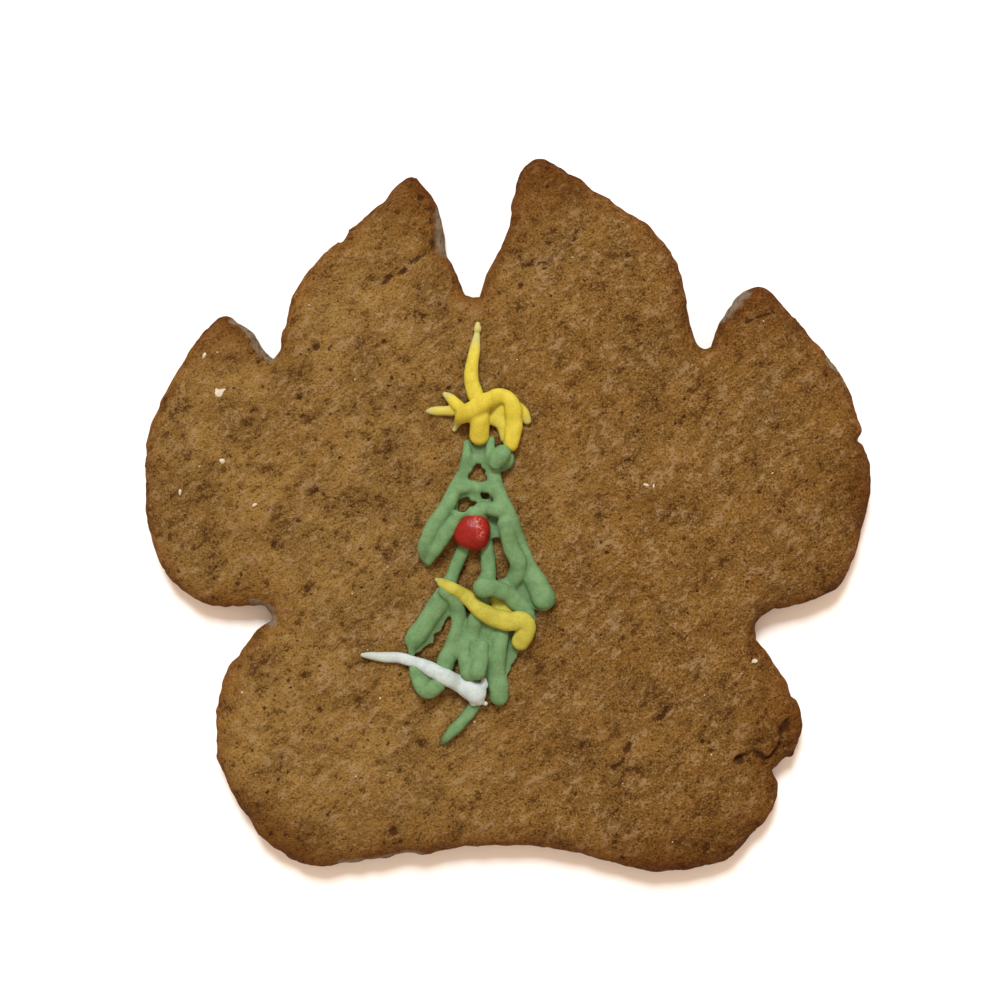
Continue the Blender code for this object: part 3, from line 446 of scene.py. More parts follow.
def grain(points, size, seed):
    """Smooth random values from -1 to 1 at points in space, with features about size across."""
    p = points / size + 4096.0
    cell = np.floor(p).astype(np.int64)
    f = p - cell
    f = f * f * (3 - 2 * f)
    total = np.zeros(len(points))
    for i, j, k in np.ndindex(2, 2, 2):
        h = (cell[:, 0] + i) * HASH[0] + (cell[:, 1] + j) * HASH[1] + (cell[:, 2] + k) * HASH[2]
        h = (h + seed * HASH[3]) & HASH_BITS
        h = ((h ^ (h >> 15)) * HASH[2]) & HASH_BITS
        h = ((h ^ (h >> 13)) * HASH[3]) & HASH_BITS
        value = (h ^ (h >> 16)) / 2 ** 31 - 1
        weight = np.where(i, f[:, 0], 1 - f[:, 0]) * np.where(j, f[:, 1], 1 - f[:, 1])
        total += weight * np.where(k, f[:, 2], 1 - f[:, 2]) * value
    return total


def outline(step):
    """The paw's outline at its widest, anticlockwise, with its box centred on the origin."""
    def wobbled(s):
        loop = np.vstack([spline(run, s)[:-1] for run in OUTLINE_RUNS.values()])[::-1]
        outward = -inward_of(loop)
        return loop + outward * WOBBLE * noise_field(loop[:, 0], loop[:, 1], WOBBLE_SIZE, 3)[:, None]

    fine = wobbled(0.25)
    return wobbled(step) - (fine.max(0) + fine.min(0)) / 2


def inward_of(loop):
    """Unit vectors pointing into an anticlockwise loop at its points."""
    ahead = np.roll(loop, -1, axis=0) - np.roll(loop, 1, axis=0)
    inward = np.column_stack([-ahead[:, 1], ahead[:, 0]])
    return inward / np.linalg.norm(inward, axis=1, keepdims=True)


def tree_of(points):
    """A search tree over points in space."""
    tree = KDTree(len(points))
    for i, point in enumerate(points):
        tree.insert(point, i)
    tree.balance()
    return tree


class Edge:
    """The paw's outline, for asking how far points are inside it."""

    def __init__(self):
        self.coarse = outline(RIM_STEP)
        self.tree = tree_of([(x, y, 0) for x, y in outline(FINE_STEP)])

    def depth(self, points):
        """Distance inside the outline for each point, negative outside it."""
        away = np.array([self.tree.find((x, y, 0))[2] for x, y in points])
        return np.where(inside_loop(self.coarse, points), away, -away)


def inside_loop(loop, points):
    """True for each point inside a closed loop."""
    x, y = points[:, 0], points[:, 1]
    odd = np.zeros(len(points), bool)
    for (x0, y0), (x1, y1) in zip(loop, np.roll(loop, -1, axis=0)):
        crosses = (y0 > y) != (y1 > y)
        with np.errstate(divide="ignore", invalid="ignore"):
            odd ^= crosses & (x < (x1 - x0) * (y - y0) / (y1 - y0) + x0)
    return odd


def distance_to(path, x, y):
    """Distance of each point x, y to a path of straight stretches."""
    p = np.column_stack([x, y])
    best = np.full(len(p), np.inf)
    for start, end in zip(path[:-1], path[1:]):
        d = end - start
        t = np.clip((p - start) @ d / (d @ d), 0, 1)
        best = np.minimum(best, np.hypot(*(p - start - t[:, None] * d).T))
    return best


def top_height(x, y, edge):
    """Height of the cookie's top, without its folds, where the outline is edge away."""
    crown = CENTRE_HEIGHT - (CENTRE_HEIGHT - SHOULDER_HEIGHT) * np.exp(-edge / CROWN_REACH)
    rise = np.clip(edge / EDGE_ROUND, 0, 1)
    height = RIM_HEIGHT + (crown - RIM_HEIGHT) * (1 - (1 - rise) ** EDGE_POWER) ** (1 / EDGE_POWER)
    for size, bump, seed in BUMPS:
        height = height + rise * bump * noise_field(x, y, size, seed)
    return height


def ground_at(points, edge):
    """Height of the cookie's top at each place (x, y)."""
    return top_height(points[:, 0], points[:, 1], edge.depth(points))


def turned(places, degrees):
    """Places (x, y) turned anticlockwise round the origin."""
    c, s = math.cos(math.radians(degrees)), math.sin(math.radians(degrees))
    return places @ [[c, s], [-s, c]]


def ramp(values, low, high):
    """Takes low..high to 0..1 with soft ends."""
    t = np.clip((values - low) / (high - low), 0, 1)
    return t * t * (3 - 2 * t)


def add_object(name, data):
    obj = bpy.data.objects.new(name, data)
    bpy.context.scene.collection.objects.link(obj)
    return obj


def add_mesh(name, vertices, faces):
    mesh = bpy.data.meshes.new(name)
    mesh.from_pydata((np.asarray(vertices) * MM).tolist(), [], faces)
    mesh.update()
    return add_object(name, mesh)


def vertex_vectors(obj, kind):
    flat = np.empty(len(obj.data.vertices) * 3, np.float32)
    obj.data.vertices.foreach_get(kind, flat)
    return flat.reshape(-1, 3).astype(float)


def positions(obj):
    """The object's vertices, in millimetres."""
    return vertex_vectors(obj, "co") / MM


def set_positions(obj, points):
    obj.data.vertices.foreach_set("co", (points * MM).astype(np.float32).ravel())
    obj.data.update()


def set_attribute(obj, name, values):
    obj.data.attributes.new(name, "FLOAT", "POINT").data.foreach_set("value", np.asarray(values, np.float32))


def cookie_points(edge):
    """The rim's points, and the points inside it: rings along the edge and an even grid."""
    rim = outline(RIM_STEP)
    inward = inward_of(rim)
    groups = []
    for inset in EDGE_RINGS:
        ring = rim + inward * inset
        groups.append(ring[edge.depth(ring) >= 0.93 * inset])
    reach = np.abs(rim).max()
    rows = np.arange(-reach, reach, GRID_STEP * math.sqrt(3) / 2)
    columns = np.arange(-reach, reach, GRID_STEP)
    grid = np.array([(c + (r % 2) * GRID_STEP / 2, y) for r, y in enumerate(rows) for c in columns])
    groups.append(grid[edge.depth(grid) >= EDGE_RINGS[-1] + 0.7 * GRID_STEP])
    return rim, np.vstack(groups)


def pore_list(edge):
    """Small round holes over the whole top, thicker in some places than others: x, y, radius, depth."""
    rng = np.random.default_rng(PORE_SEED)
    spots = rng.uniform(-55, 55, (PORES * 5, 2))
    spots = spots[edge.depth(spots) > PORE_INSET]
    crowd = noise_field(spots[:, 0], spots[:, 1], PORE_CROWD_SIZE, PORE_SEED)
    spots = spots[rng.uniform(-0.9, 0.9, len(spots)) < crowd][:PORES]
    small, large = PORE_RADII
    radius = small + (large - small) * rng.uniform(0, 1, len(spots)) ** 3
    depth = radius * rng.uniform(0.5, 1.0, len(spots))
    return np.column_stack([spots, radius, depth])


def build_cookie(edge):
    rim, inner = cookie_points(edge)
    count = len(rim)
    ring = list(range(count))
    found = delaunay_2d_cdt([Vector(p) for p in np.vstack([rim, inner])], [], [ring], 1, 1e-7)
    xy = np.array([p[:] for p in found[0]])
    depth = np.maximum(edge.depth(xy), 0)
    depth[:count] = 0
    top = np.column_stack([xy, top_height(xy[:, 0], xy[:, 1], depth)])
    inward = inward_of(rim)
    wall = [np.column_stack([rim + inward * inset, np.full(count, z)]) for z, inset in WALL_RINGS]
    base = np.column_stack([rim + inward * FOOT_INSET, np.zeros(count)])
    vertices = np.vstack([top, *wall, base])
    faces = [list(f) for f in found[2]]
    starts = [0] + [len(top) + k * count for k in range(len(WALL_RINGS) + 1)]
    for upper, lower in zip(starts, starts[1:]):
        faces += [[upper + i, lower + i, lower + (i + 1) % count, upper + (i + 1) % count] for i in ring]
    under = delaunay_2d_cdt([Vector(p) for p in base[:, :2]], [], [ring], 1, 1e-7)
    faces += [[starts[-1] + i for i in reversed(f)] for f in under[2]]
    cookie = add_mesh("gingerbread_paw", vertices, faces)
    bm = bmesh.new()
    bm.from_mesh(cookie.data)
    bmesh.ops.recalc_face_normals(bm, faces=bm.faces)
    bm.to_mesh(cookie.data)
    bm.free()

    relief, dark, broken = cookie_relief(vertices, len(top), depth, edge)
    out = vertex_vectors(cookie, "normal")
    out[-count:] = 0
    moved = vertices + out * relief[:, None]
    moved[:, 2] = np.maximum(moved[:, 2], 0)
    set_positions(cookie, moved)
    edge_of = np.zeros(len(vertices))
    edge_of[:len(top)] = depth
    # The baked mark holds the oven's browning and painted shade along the bottom edge
    marks = {"baked": baking_and_shade(vertices, edge_of), "rim": np.exp(-edge_of / RIM_REACH), "broken": broken,
             # The dark mark is painted shade in pits, tears, creases, dents and pores
             "dark": dark, "floury": flour_on(vertices)}
    for name, values in marks.items():
        set_attribute(cookie, name, values)
    cookie.data.shade_smooth()
    return cookie


def crumb(points):
    """Where the crust is broken, where it's pitted and where it's torn, each from 0 to 1."""
    broken = ramp(0.8 * grain(points, 5.4, 24) + 0.6 * grain(points, 2.3, 25), -0.2, 0.55)
    pits = ramp(0.7 * grain(points, 1.6, 26) + 0.5 * grain(points, 0.85, 27), 0.22, 0.60)
    slanted = np.column_stack([turned(points[:, :2], -TEAR_TURN) / TEAR_SIZE, points[:, 2]])
    tears = ramp(grain(slanted, 1.0, 28) + 0.4 * grain(points, 0.9, 29), 0.42, 0.78)
    return broken, pits * (0.3 + 0.7 * broken), tears * (0.25 + 0.75 * broken)


def cookie_relief(vertices, top_count, depth, edge):
    """How far each vertex moves out, how much painted shade it gets in pits, tears, creases, dents and
    pores, and how broken the crust is there.
    """
    broken, pits, tears = crumb(vertices)
    relief = -BROKEN_DEPTH * broken - PIT_DEPTH * pits - TEAR_DEPTH * tears
    for size, height, seed in LUMPS:
        relief += height * grain(vertices, size, seed)
    top = vertices[:top_count]
    # Painted shade in the pits and tears
    dark = np.maximum(PIT_SHADE * pits, TEAR_SHADE * tears)
    rise = np.clip(depth / HOLLOW_RISE, 0, 1)
    wander = WANDER * np.column_stack([grain(top, WANDER_SIZE, 51), grain(top, WANDER_SIZE, 52)])
    varied = ramp(grain(top, 1.1, 53) + 0.6 * grain(top, 0.6, 57), -0.5, 0.5)
    for route, deep, half_width in CREASES:
        away = distance_to(drawn_in(route), top[:, 0] + wander[:, 0], top[:, 1] + wander[:, 1])
        groove = np.exp(-(away / half_width) ** 2) * (CREASE_KEPT + CREASE_VARIES * varied)
        relief[:top_count] -= deep * groove
        # Painted shade along the crease
        dark[:top_count] = np.maximum(dark[:top_count], groove * min(1, deep * 1.6))
    tree = tree_of([(x, y, 0) for x, y, _ in top])
    for x, y, radius, deep in [*drawn_in(HOLLOWS), *pore_list(edge)]:
        for _, i, away in tree.find_range((x, y, 0), 2.2 * radius):
            bowl = math.exp(-(away / radius) ** 2)
            relief[i] -= deep * bowl * rise[i]
            # Painted shade in each dent and pore
            dark[i] = max(dark[i], min(1, 1.6 * deep / radius ** 0.5) * bowl)
    return relief, np.clip(dark, 0, 1), broken


def baking_and_shade(vertices, from_edge):
    """How dark each place is made: by the oven, from the edge and from the claws inwards, and by painted
    shade along the bottom edge.
    """
    amount = BAKED_EDGE * np.exp(-from_edge / BAKED_EDGE_REACH)
    for x, y, reach in BAKED_AND_SHADED_SPOTS:
        away = np.hypot(vertices[:, 0] - x, vertices[:, 1] - y)
        amount += SPOT_DARKENING * ramp(-away, -reach, 0.15 * reach)
    amount += BAKED_BLOTCHES * grain(vertices, BLOTCH_SIZE, 54) * np.exp(-from_edge / BLOTCH_SIZE)
    return np.clip(amount, 0, 1)


def flour_on(vertices):
    """How much flour clings to the wall along each floury stretch of the edge."""
    amount = np.zeros(len(vertices))
    ragged = FLOUR_RAGGED * grain(vertices, 1.0, 58)
    for path, reach in FLOURY:
        away = distance_to(np.array(path), vertices[:, 0], vertices[:, 1]) + ragged
        amount = np.maximum(amount, ramp(-away, -reach, -0.75 * reach))
    return amount


def lay_strands(step, edge):
    """Each strand's samples (x, y, z, half width), resting on the cookie and on earlier strands."""
    laid, pile = [], np.empty((0, 4))
    for node, name, points in STRANDS:
        x, y, width = spline(drawn_in(points), step).T
        ground = ground_at(np.column_stack([x, y]), edge)
        top = ground.copy()
        if len(pile):
            away = np.hypot(x[:, None] - pile[:, 0], y[:, None] - pile[:, 1]) - PILE_SPREAD * width[:, None]
            share = np.clip(np.maximum(away, 0) / pile[:, 3], 0, 1)
            crest = pile[:, 2] + 2 * STRAND_HALF_HEIGHT * pile[:, 3] * np.sqrt(1 - share ** 2)
            top = np.maximum(top, np.where(share < 1, crest, 0).max(1))
        top = ground + (top - ground) * PILE_KEPT
        reach = max(1, round(PILE_SMOOTHING / step))
        padded = np.pad(top, reach, mode="edge")
        top = np.convolve(padded, np.ones(2 * reach + 1) / (2 * reach + 1), mode="valid")
        z = np.maximum(top, ground) + STRAND_LIFT * width
        samples = np.column_stack([x, y, z, width / 2])
        laid.append((node, name, samples))
        pile = np.vstack([pile, samples])
    return laid


def soft_min(a, b, blend):
    """The smaller of two fields, rounded off by blend where they are nearly alike."""
    share = np.clip(0.5 + 0.5 * (a - b) / blend, 0, 1)
    return a * (1 - share) + b * share - blend * share * (1 - share)


class Block:
    """A block of space that holds, for points CELL apart, how far each is outside the icing."""

    def __init__(self, low, high, edge):
        self.axes = [np.arange(a, b + CELL, CELL) for a, b in zip(low, high)]
        self.field = np.full([len(a) for a in self.axes], FAR)
        x, y = np.meshgrid(self.axes[0], self.axes[1], indexing="ij")
        self.flat = np.column_stack([x.ravel(), y.ravel()])
        self.ground = ground_at(self.flat, edge).reshape(x.shape)
        flat = np.column_stack([self.flat, np.zeros(len(self.flat))])
        self.ragged = RAGGED * (grain(flat, 0.9, 55) + 0.6 * grain(flat, 0.4, 56))

    def near(self, low, high):
        """The slices of the block between two corners, and the places of their points."""
        cut = tuple(slice(*np.searchsorted(a, (l, h))) for a, l, h in zip(self.axes, low, high))
        return cut, np.meshgrid(*(a[c] for a, c in zip(self.axes, cut)), indexing="ij", sparse=True)

    def add_balls(self, balls, flatness, squareness, blend):
        """Adds a row of balls (x, y, z, radius), squashed in height and squared off, as one shape."""
        reach = balls[:, 3:] + MARGIN
        cut, _ = self.near((balls[:, :3] - reach).min(0), (balls[:, :3] + reach).max(0))
        shape = np.full(self.field.shape, FAR)
        for x, y, z, radius in balls:
            place = np.array([x, y, z])
            close, (gx, gy, gz) = self.near(place - radius - MARGIN, place + radius + MARGIN)
            level = ((gx - x) ** 2 + (gy - y) ** 2) ** (squareness / 2)
            away = (level + (np.abs(gz - z) / flatness) ** squareness) ** (1 / squareness) - radius
            shape[close] = np.minimum(shape[close], away)
        self.field[cut] = soft_min(shape[cut], self.field[cut], blend)

    def outside(self, loop):
        """How far each column of the block is outside a loop seen from above, with a ragged edge."""
        away = distance_to(np.vstack([loop, loop[:1]]), self.flat[:, 0], self.flat[:, 1])
        away = np.where(inside_loop(loop, self.flat), -away, away) + self.ragged
        return away.reshape(self.ground.shape)[:, :, None]

    def add_sheet(self, loop, height, blend):
        above = self.axes[2][None, None, :] - self.ground[:, :, None]
        shape = np.maximum(self.outside(loop), np.maximum(above - height, -SHEET_SOLE - above))
        self.field = soft_min(shape, self.field, blend)

    def cut_hole(self, loop, blend):
        """Takes a hole right through the icing, with rounded rims."""
        self.field = -soft_min(self.outside(loop), -self.field, blend)

    def skin(self, name):
        """The surface where the block passes zero, as a mesh of small quads."""
        inside = self.field < 0
        cells = np.array(self.field.shape) - 1
        weight, total = np.zeros(cells.prod()), np.zeros((3, cells.prod()))
        crossings = []
        for axis in range(3):
            start = np.argwhere(np.diff(inside, axis=axis))
            step, u, v = np.roll(np.eye(3, dtype=int), -axis, axis=0)
            a, b = self.field[tuple(start.T)], self.field[tuple((start + step).T)]
            place = start + (a / (a - b))[:, None] * step
            around = np.stack([start - u - v, start - v, start, start - u], axis=1)
            fits = ((around >= 0) & (around < cells)).all((1, 2))
            around, place, out = around[fits], place[fits], (b > a)[fits]
            index = np.ravel_multi_index(tuple(np.moveaxis(around, 2, 0)), tuple(cells))
            for corner in index.T:
                weight += np.bincount(corner, minlength=len(weight))
                for k in range(3):
                    total[k] += np.bincount(corner, place[:, k], minlength=len(weight))
            crossings.append(np.where(out[:, None], index, index[:, ::-1]))
        used = weight > 0
        vertices = (total[:, used] / weight[used]).T * CELL + [a[0] for a in self.axes]
        number = np.cumsum(used) - 1
        return add_mesh(name, vertices, number[np.vstack(crossings)].tolist())


def soften(obj, rounds):
    smooth = obj.modifiers.new("soften", "SMOOTH")
    smooth.factor, smooth.iterations = 0.5, rounds
    graph = bpy.context.evaluated_depsgraph_get()
    obj.data = bpy.data.meshes.new_from_object(obj.evaluated_get(graph))
    obj.modifiers.clear()
    obj.data.shade_smooth()


def roughen(obj, lumps):
    """Moves each vertex along its normal by a little noise, given as (size, height, seed)."""
    points, out = positions(obj), vertex_vectors(obj, "normal")
    shift = sum(height * grain(points, size, seed) for size, height, seed in lumps)
    set_positions(obj, points + out * shift[:, None])


def uneven(samples, seed):
    """A strand's samples with the unsteady width of piping by hand."""
    along = np.arange(len(samples)) * STRAND_STEP
    change = 1 + UNEVEN * noise_field(along, np.full(len(samples), seed), UNEVEN_SIZE, seed)
    return samples * np.column_stack([np.ones((len(samples), 3)), change])


def bauble_balls(green):
    """The bauble's lobes, each one ball (x, y, z, radius) resting on the green strands."""
    balls = []
    for x, y, radius in drawn_in(BAUBLE_LOBES):
        under = green[np.hypot(green[:, 0] - x, green[:, 1] - y) < radius]
        z = np.median(under[:, 2]) + BAUBLE_LIFT + radius * BAUBLE_HEIGHT / 2
        balls.append(np.array([(x, y, z, radius)]))
    return balls


def fill_block(node, rows, blend, squareness, edge):
    """The block that holds one node's icing: its sheets, strands and drops, less its holes."""
    every = np.vstack(rows)
    low = (every[:, :3] - every[:, 3:]).min(0) - ROOM
    high = (every[:, :3] + every[:, 3:]).max(0) + ROOM
    block = Block(low, high, edge)
    for owner, loop, height in SHEETS:
        if owner == node:
            block.add_sheet(drawn_in(loop), height, blend)
    flatness = BAUBLE_HEIGHT if node == BAUBLE else 2 * STRAND_HALF_HEIGHT
    for row in rows:
        block.add_balls(row, flatness, squareness, blend)
    for owner, x, y, height, radius in NUBS:
        if owner == node:
            place = drawn_in([(x, y)])
            ball = np.array([(*place[0], ground_at(place, edge)[0] + height, radius)])
            block.add_balls(ball, 1.0, 2.0, blend)
    if node == GREEN:
        for loop in HOLES:
            block.cut_hole(drawn_in(loop), HOLE_BLEND)
    return block


def mark_icing(obj, node, rows, edge):
    """Marks how full the icing is at each vertex, and where the bauble's painted highlight streak lies."""
    every = np.vstack(rows)
    tree = tree_of(every[:, :3])
    skin = positions(obj)
    half = np.array([every[tree.find(p)[1], 3] for p in skin])
    above = skin[:, 2] - ground_at(skin[:, :2], edge)
    thick = ramp(half, *THIN_STRAND) if node != GREEN else 1
    set_attribute(obj, "body", thick * ramp(above, *THIN_LAYER))
    if node == BAUBLE:
        # Where the painted highlight streak lies on the bauble
        away = distance_to(drawn_in(HIGHLIGHT_STREAK), skin[:, 0], skin[:, 1])
        set_attribute(obj, "highlight_streak", np.exp(-(away / HIGHLIGHT_STREAK_REACH) ** 2))


def build_icing(laid, edge):
    """One piece for each icing node."""
    made = {}
    for node, (name, blend, squareness) in ICING.items():
        rows = [uneven(samples, 60 + k) for k, (owner, strand, samples) in enumerate(laid)
                if owner == node and strand not in FILLERS]
        if node == BAUBLE:
            rows = bauble_balls(np.vstack([samples for owner, _, samples in laid if owner == GREEN]))
        obj = fill_block(node, rows, blend, squareness, edge).skin(name)
        soften(obj, ICING_SMOOTHING)
        roughen(obj, ICING_LUMPS)
        mark_icing(obj, node, rows, edge)
        made[node] = obj
    return made


class Nodes:
    """A material's node tree, with short calls for the nodes that the materials here use."""

    def __init__(self, name):
        self.material = bpy.data.materials.new(name)
        self.material.use_nodes = True
        self.tree = self.material.node_tree
        self.shader = self.tree.nodes["Principled BSDF"]
        self.place = self.tree.nodes.new("ShaderNodeTexCoord").outputs["Object"]

    def join(self, value, socket):
        if isinstance(value, (int, float)):
            socket.default_value = value
        elif isinstance(value, tuple):
            socket.default_value = (*value, 1.0) if len(socket.default_value) == 4 else value
        else:
            self.tree.links.new(value, socket)

    def add(self, kind, **given):
        """A new node, with each named input set to a value or joined to another node."""
        node = self.tree.nodes.new("ShaderNode" + kind)
        for name, value in given.items():
            self.join(value, node.inputs[name])
        return node

    def put(self, name, value):
        """Sets or joins an input of the surface."""
        self.join(value, self.shader.inputs[name])

    def attribute(self, name):
        node = self.add("Attribute")
        node.attribute_name = name
        return node.outputs["Fac"]

    def mapped(self, stretch, turn=0.0):
        """Places turned by an angle, then drawn out by stretch along the turned axes."""
        node = self.add("Mapping", Vector=self.place, Rotation=(0, 0, math.radians(turn)), Scale=stretch)
        node.vector_type = "TEXTURE"
        return node.outputs["Vector"]

    def noise(self, size, detail=2.0, roughness=0.5, vector=None):
        """Noise from 0 to 1 with features about size mm across."""
        place = vector or self.place
        node = self.add("TexNoise", Vector=place, Scale=1 / (size * MM), Detail=detail, Roughness=roughness)
        return node.outputs["Fac"]

    def cells(self, size, vector):
        """Distance to the nearest of scattered points about size mm apart, in units of size."""
        return self.add("TexVoronoi", Vector=vector, Scale=1 / (size * MM)).outputs["Distance"]

    def math(self, operation, a, b=0.0, c=0.0):
        node = self.add("Math")
        node.operation = operation
        for value, socket in zip((a, b, c), node.inputs):
            self.join(value, socket)
        return node.outputs[0]

    def times(self, a, b):
        return self.math("MULTIPLY", a, b)

    def remap(self, value, low, high, to_low=0.0, to_high=1.0):
        """Takes low..high to to_low..to_high with soft ends."""
        node = self.add("MapRange")
        node.interpolation_type = "SMOOTHSTEP"
        for given, socket in zip((value, low, high, to_low, to_high), node.inputs):
            self.join(given, socket)
        return node.outputs[0]

    def mix(self, share, first, second, blend="MIX"):
        """A colour between two, or with the second blended over the first."""
        node = self.add("Mix")
        node.data_type, node.blend_type = "RGBA", blend
        for value, index in ((share, 0), (first, 6), (second, 7)):
            self.join(value, node.inputs[index])
        return node.outputs[2]

    def layered(self, colour, *layers):
        """A colour with others over it, each given as its share and its colour."""
        for share, layer in layers:
            colour = self.mix(share, colour, layer)
        return colour

    def bump(self, height, distance):
        return self.add("Bump", Height=height, Distance=distance * MM, Strength=1.0).outputs["Normal"]


def gingerbread():
    """Baked crumb: bump and colour from lumps, crumbs and grit, with painted highlights on high places and
    painted shade in low ones, then painted shade in hollows and specks, and flour.
    """
    n = Nodes("gingerbread_crumb")
    broken = n.attribute("broken")
    slanting = n.mapped((1.5, 1.0, 1.0), TEAR_TURN)
    crumbs = n.noise(0.85, 3.0, 0.6, slanting)
    grit = n.noise(0.31, 3.0, 0.75)
    height = n.math("ADD", n.times(n.noise(1.9, 2.0, 0.55, slanting), 0.34), n.times(crumbs, 0.42))
    height = n.math("ADD", height, n.times(grit, 0.24))
    coarse = n.math("MAXIMUM", broken, n.remap(n.noise(3.0, 2.0), 0.46, 0.60))
    across = n.remap(n.add("SeparateXYZ", Vector=n.place).outputs["X"], -0.052, 0.054)
    fineness = n.remap(across, 0.0, 1.0, 0.8, 1.0)
    tone = n.math("ADD", n.times(across, 0.62), n.times(n.noise(17.0, 2.0), 0.76))
    # Painted shade in the low places of the bump's relief
    crevice_shade = n.times(n.remap(height, 0.465, 0.415), n.remap(coarse, 0.0, 1.0, 0.35, 0.70))
    colour = n.layered(
        n.mix(n.remap(tone, 0.3, 1.0), CRUMB_LEFT, CRUMB_RIGHT),
        (n.remap(n.noise(6.0, 3.0), 0.38, 0.62, 0.0, 0.5), BROWN_PATCH),
        (n.remap(n.noise(3.2, 3.0), 0.48, 0.66, 0.0, 0.28), DARK_PATCH),
        (n.times(broken, 0.38), BROKEN),
        (n.times(n.remap(grit, 0.455, 0.375, 0.0, 0.92), fineness), GRIT_DARK),
        (n.times(n.remap(grit, 0.54, 0.64, 0.0, 0.75), fineness), GRIT_LIGHT),
        # Painted highlight on the high places of the bump's relief
        (n.remap(height, 0.51, 0.60, 0.0, 0.7), RIDGE_HIGHLIGHT),
        (crevice_shade, CREVICE_SHADE),
    )
    # Baking, with painted shade along the bottom edge, then the rim, darken the crumb
    for name, tint in (("baked", BAKE_AND_SHADE_TINT), ("rim", RIM_TINT)):
        colour = n.mix(n.attribute(name), colour, n.mix(1.0, colour, tint, "MULTIPLY"))
    # Painted shade of tiny pits, as sparse dark specks
    speck_shade = n.remap(n.math("MULTIPLY_ADD", grit, 0.5, n.cells(1.7, slanting)), 0.38, 0.33)
    # Painted shade in the pits, tears, creases, dents and pores of the dark mark, broken up by the crumbs
    # and grit
    hollow_shade = n.math("MULTIPLY_ADD", n.math("ADD", crumbs, grit), -0.55, n.attribute("dark"))
    bit = n.remap(n.cells(1.9, n.mapped((1.0, 1.0, 1.0), 57)), 0.05, 0.12, 1.0, 0.0)
    dust = n.times(n.attribute("floury"), n.remap(n.noise(0.7, 3.0, 0.7), 0.30, 0.50))
    colour = n.layered(
        colour,
        (n.times(n.times(speck_shade, n.remap(n.noise(2.6), 0.50, 0.57)), 0.92), SPECK_SHADE),
        (n.remap(hollow_shade, -0.16, 0.16, 0.0, 0.88), HOLLOW_SHADE),
        (n.times(n.times(bit, n.remap(n.noise(3.4, 1.0), 0.52, 0.6)), 0.5), SUGAR_BIT),
        (n.times(dust, 0.85), WALL_FLOUR),
    )
    n.put("Base Color", colour)
    n.put("Roughness", n.remap(n.noise(2.0), 0.3, 0.7, 0.82, 0.95))
    n.put("Specular IOR Level", 0.08)
    n.put("Normal", n.bump(height, 2.4))
    return n.material


def icing(name, lit, deep, thin, roughness, shine):
    """Dried icing: a satin skin with faint sugar grain, duller where thin, and on the bauble a painted
    highlight streak broken up by noise.
    """
    n = Nodes(name)
    sugar = n.noise(0.32, 2.0, 0.7)
    highlight_breakup = n.remap(n.noise(0.45, 3.0), 0.44, 0.60, 0.0, 0.6)
    n.put("Base Color", n.layered(
        n.mix(n.remap(n.noise(1.6, 3.0), 0.36, 0.7), lit, deep),
        (n.remap(sugar, 0.46, 0.36, 0.0, 0.28), tuple(0.72 * c for c in deep)),
        (n.remap(sugar, 0.56, 0.68, 0.0, 0.25), tuple(1.25 * c + 0.03 for c in lit)),
        (n.math("SUBTRACT", 1.0, n.attribute("body")), thin),
        # Painted highlight streak on the bauble, broken up by noise
        (n.times(n.attribute("highlight_streak"), highlight_breakup), HIGHLIGHT_STREAK_COLOUR),
    ))
    n.put("Roughness", n.remap(n.noise(0.8, 2.0), 0.3, 0.7, roughness, roughness + 0.12))
    n.put("Subsurface Weight", 0.18)
    n.put("Subsurface Radius", (0.0010, 0.0009, 0.0006))
    n.put("Subsurface Scale", 1.0)
    n.put("Specular IOR Level", shine)
    n.put("Normal", n.bump(n.math("ADD", sugar, n.noise(0.9, 3.0, 0.6)), 0.07))
    return n.material


def flour():
    n = Nodes("white_flour")
    n.put("Base Color", n.mix(n.noise(0.5, 2.0), (0.52, 0.49, 0.41), (0.38, 0.33, 0.24)))
    n.put("Roughness", 0.85)
    n.put("Normal", n.bump(n.noise(0.3), 0.05))
    return n.material


def floor_white():
    n = Nodes("floor_white")
    n.put("Base Color", n.mix(n.noise(40.0), (0.90, 0.90, 0.90), (0.89, 0.89, 0.89)))
    n.put("Roughness", 0.9)
    n.put("Specular IOR Level", 0.0)
    return n.material


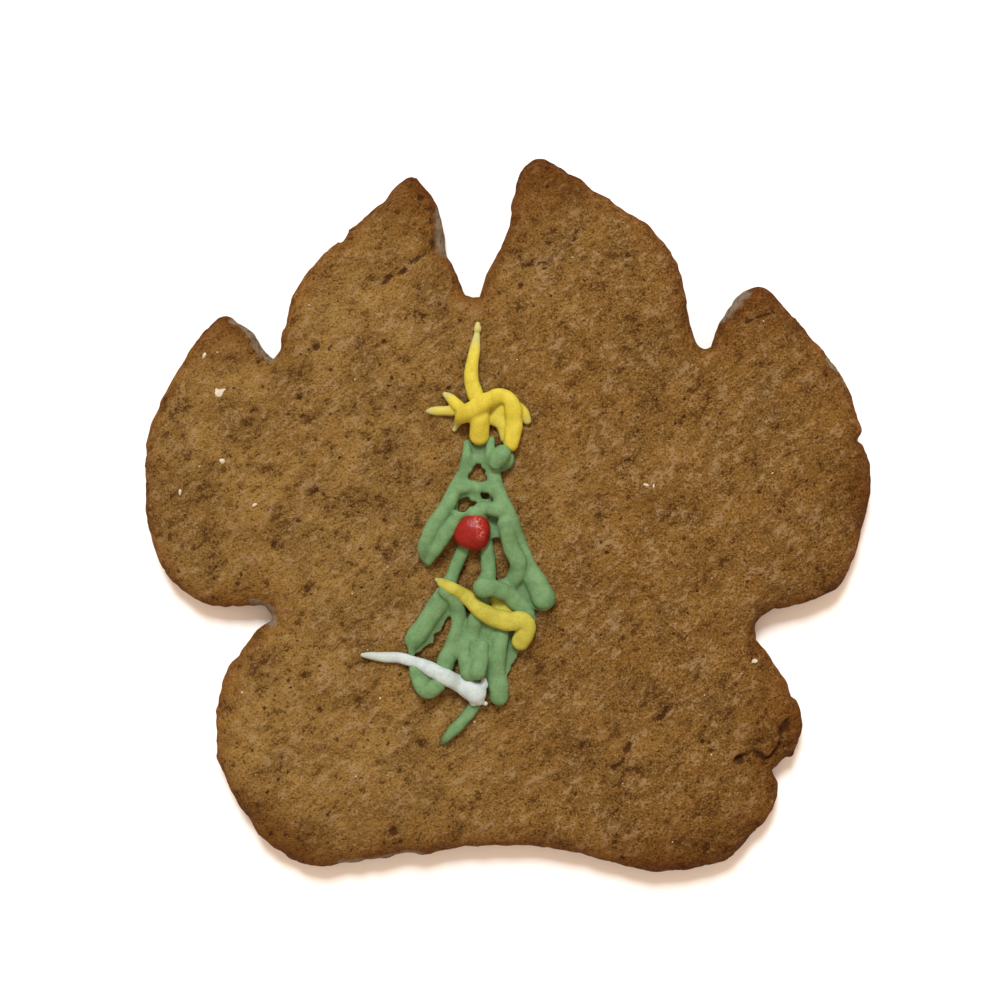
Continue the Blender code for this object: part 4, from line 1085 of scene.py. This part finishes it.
def build_flakes(edge):
    """Loose bits of flour and sugar lying on the top."""
    rng = np.random.default_rng(GRAIN_SEED)
    spots = rng.uniform(-54, 54, (GRAINS * 3, 2))
    spots = spots[edge.depth(spots) > GRAIN_INSET][:GRAINS]
    bits = [(x, y, size, size * rng.uniform(0.6, 1.0), rng.uniform(0, 180))
            for (x, y), size in zip(spots, rng.uniform(*GRAIN_SIZES, len(spots)))]
    flakes = [(*drawn_in([flake[:2]])[0], *flake[2:]) for flake in FLAKES]
    vertices, faces = [], []
    for x, y, long, wide, turn in flakes + bits:
        bm = bmesh.new()
        bmesh.ops.create_icosphere(bm, subdivisions=3 if long > 0.6 else 1, radius=1.0)
        local = np.array([v.co[:] for v in bm.verts])
        local *= 1 + 0.45 * grain(local + (x, y, 0), 0.8, 71)[:, None]
        flat = local * (long / 2, wide / 2, min(FLAKE_THICKNESS, wide * 0.4))
        flat[:, :2] = turned(flat[:, :2], turn)
        faces += [[v.index + len(vertices) for v in f.verts] for f in bm.faces]
        vertices += (flat + (x, y, ground_at(np.array([(x, y)]), edge)[0])).tolist()
        bm.free()
    obj = add_mesh("flour_bits", vertices, faces)
    obj.data.shade_smooth()
    return obj


def add_floor():
    bpy.ops.mesh.primitive_plane_add(size=FLOOR_SIZE, location=(0, 0, 0))
    floor = bpy.context.object
    floor.name = "floor"
    floor.data.materials.append(floor_white())


def add_camera():
    data = bpy.data.cameras.new("camera")
    data.sensor_width = SENSOR_WIDTH
    data.lens = SENSOR_WIDTH * (CAMERA_HEIGHT - CAMERA_AIM[2]) / FRAME_MM
    data.clip_start = 0.01
    camera = add_object("camera", data)
    camera.location = (CAMERA_AIM[0] * MM, CAMERA_AIM[1] * MM, CAMERA_HEIGHT * MM)
    bpy.context.scene.camera = camera


def add_lights():
    data = bpy.data.lights.new("key", "AREA")
    data.energy, data.size, data.color = KEY_WATTS, KEY_SIZE, KEY_COLOUR
    key = add_object("key", data)
    key.location = KEY_PLACE
    key.rotation_mode = "QUATERNION"
    key.rotation_quaternion = (-key.location).to_track_quat("-Z", "Y")
    world = bpy.data.worlds.new("studio")
    world.use_nodes = True
    world.node_tree.nodes["Background"].inputs["Color"].default_value = (*WORLD_COLOUR, 1.0)
    bpy.context.scene.world = world


def give(obj, material, node=None):
    """Finishes a piece: its material, slot and body, and the node it stands for."""
    obj.data.materials.clear()
    obj.data.materials.append(material)
    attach(obj, "root")
    if node:
        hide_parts(node)


def main():
    edge = Edge()
    give(build_cookie(edge), gingerbread(), "cookie_gingerbread")
    pieces = build_icing(lay_strands(STRAND_STEP, edge), edge)
    for node, (name, slot, *look) in PAINTS.items():
        give(pieces[node], icing(name, *look), node)
    give(build_flakes(edge), flour())
    add_floor()
    add_camera()
    add_lights()
    bpy.context.scene.view_settings.view_transform = "Standard"


main()
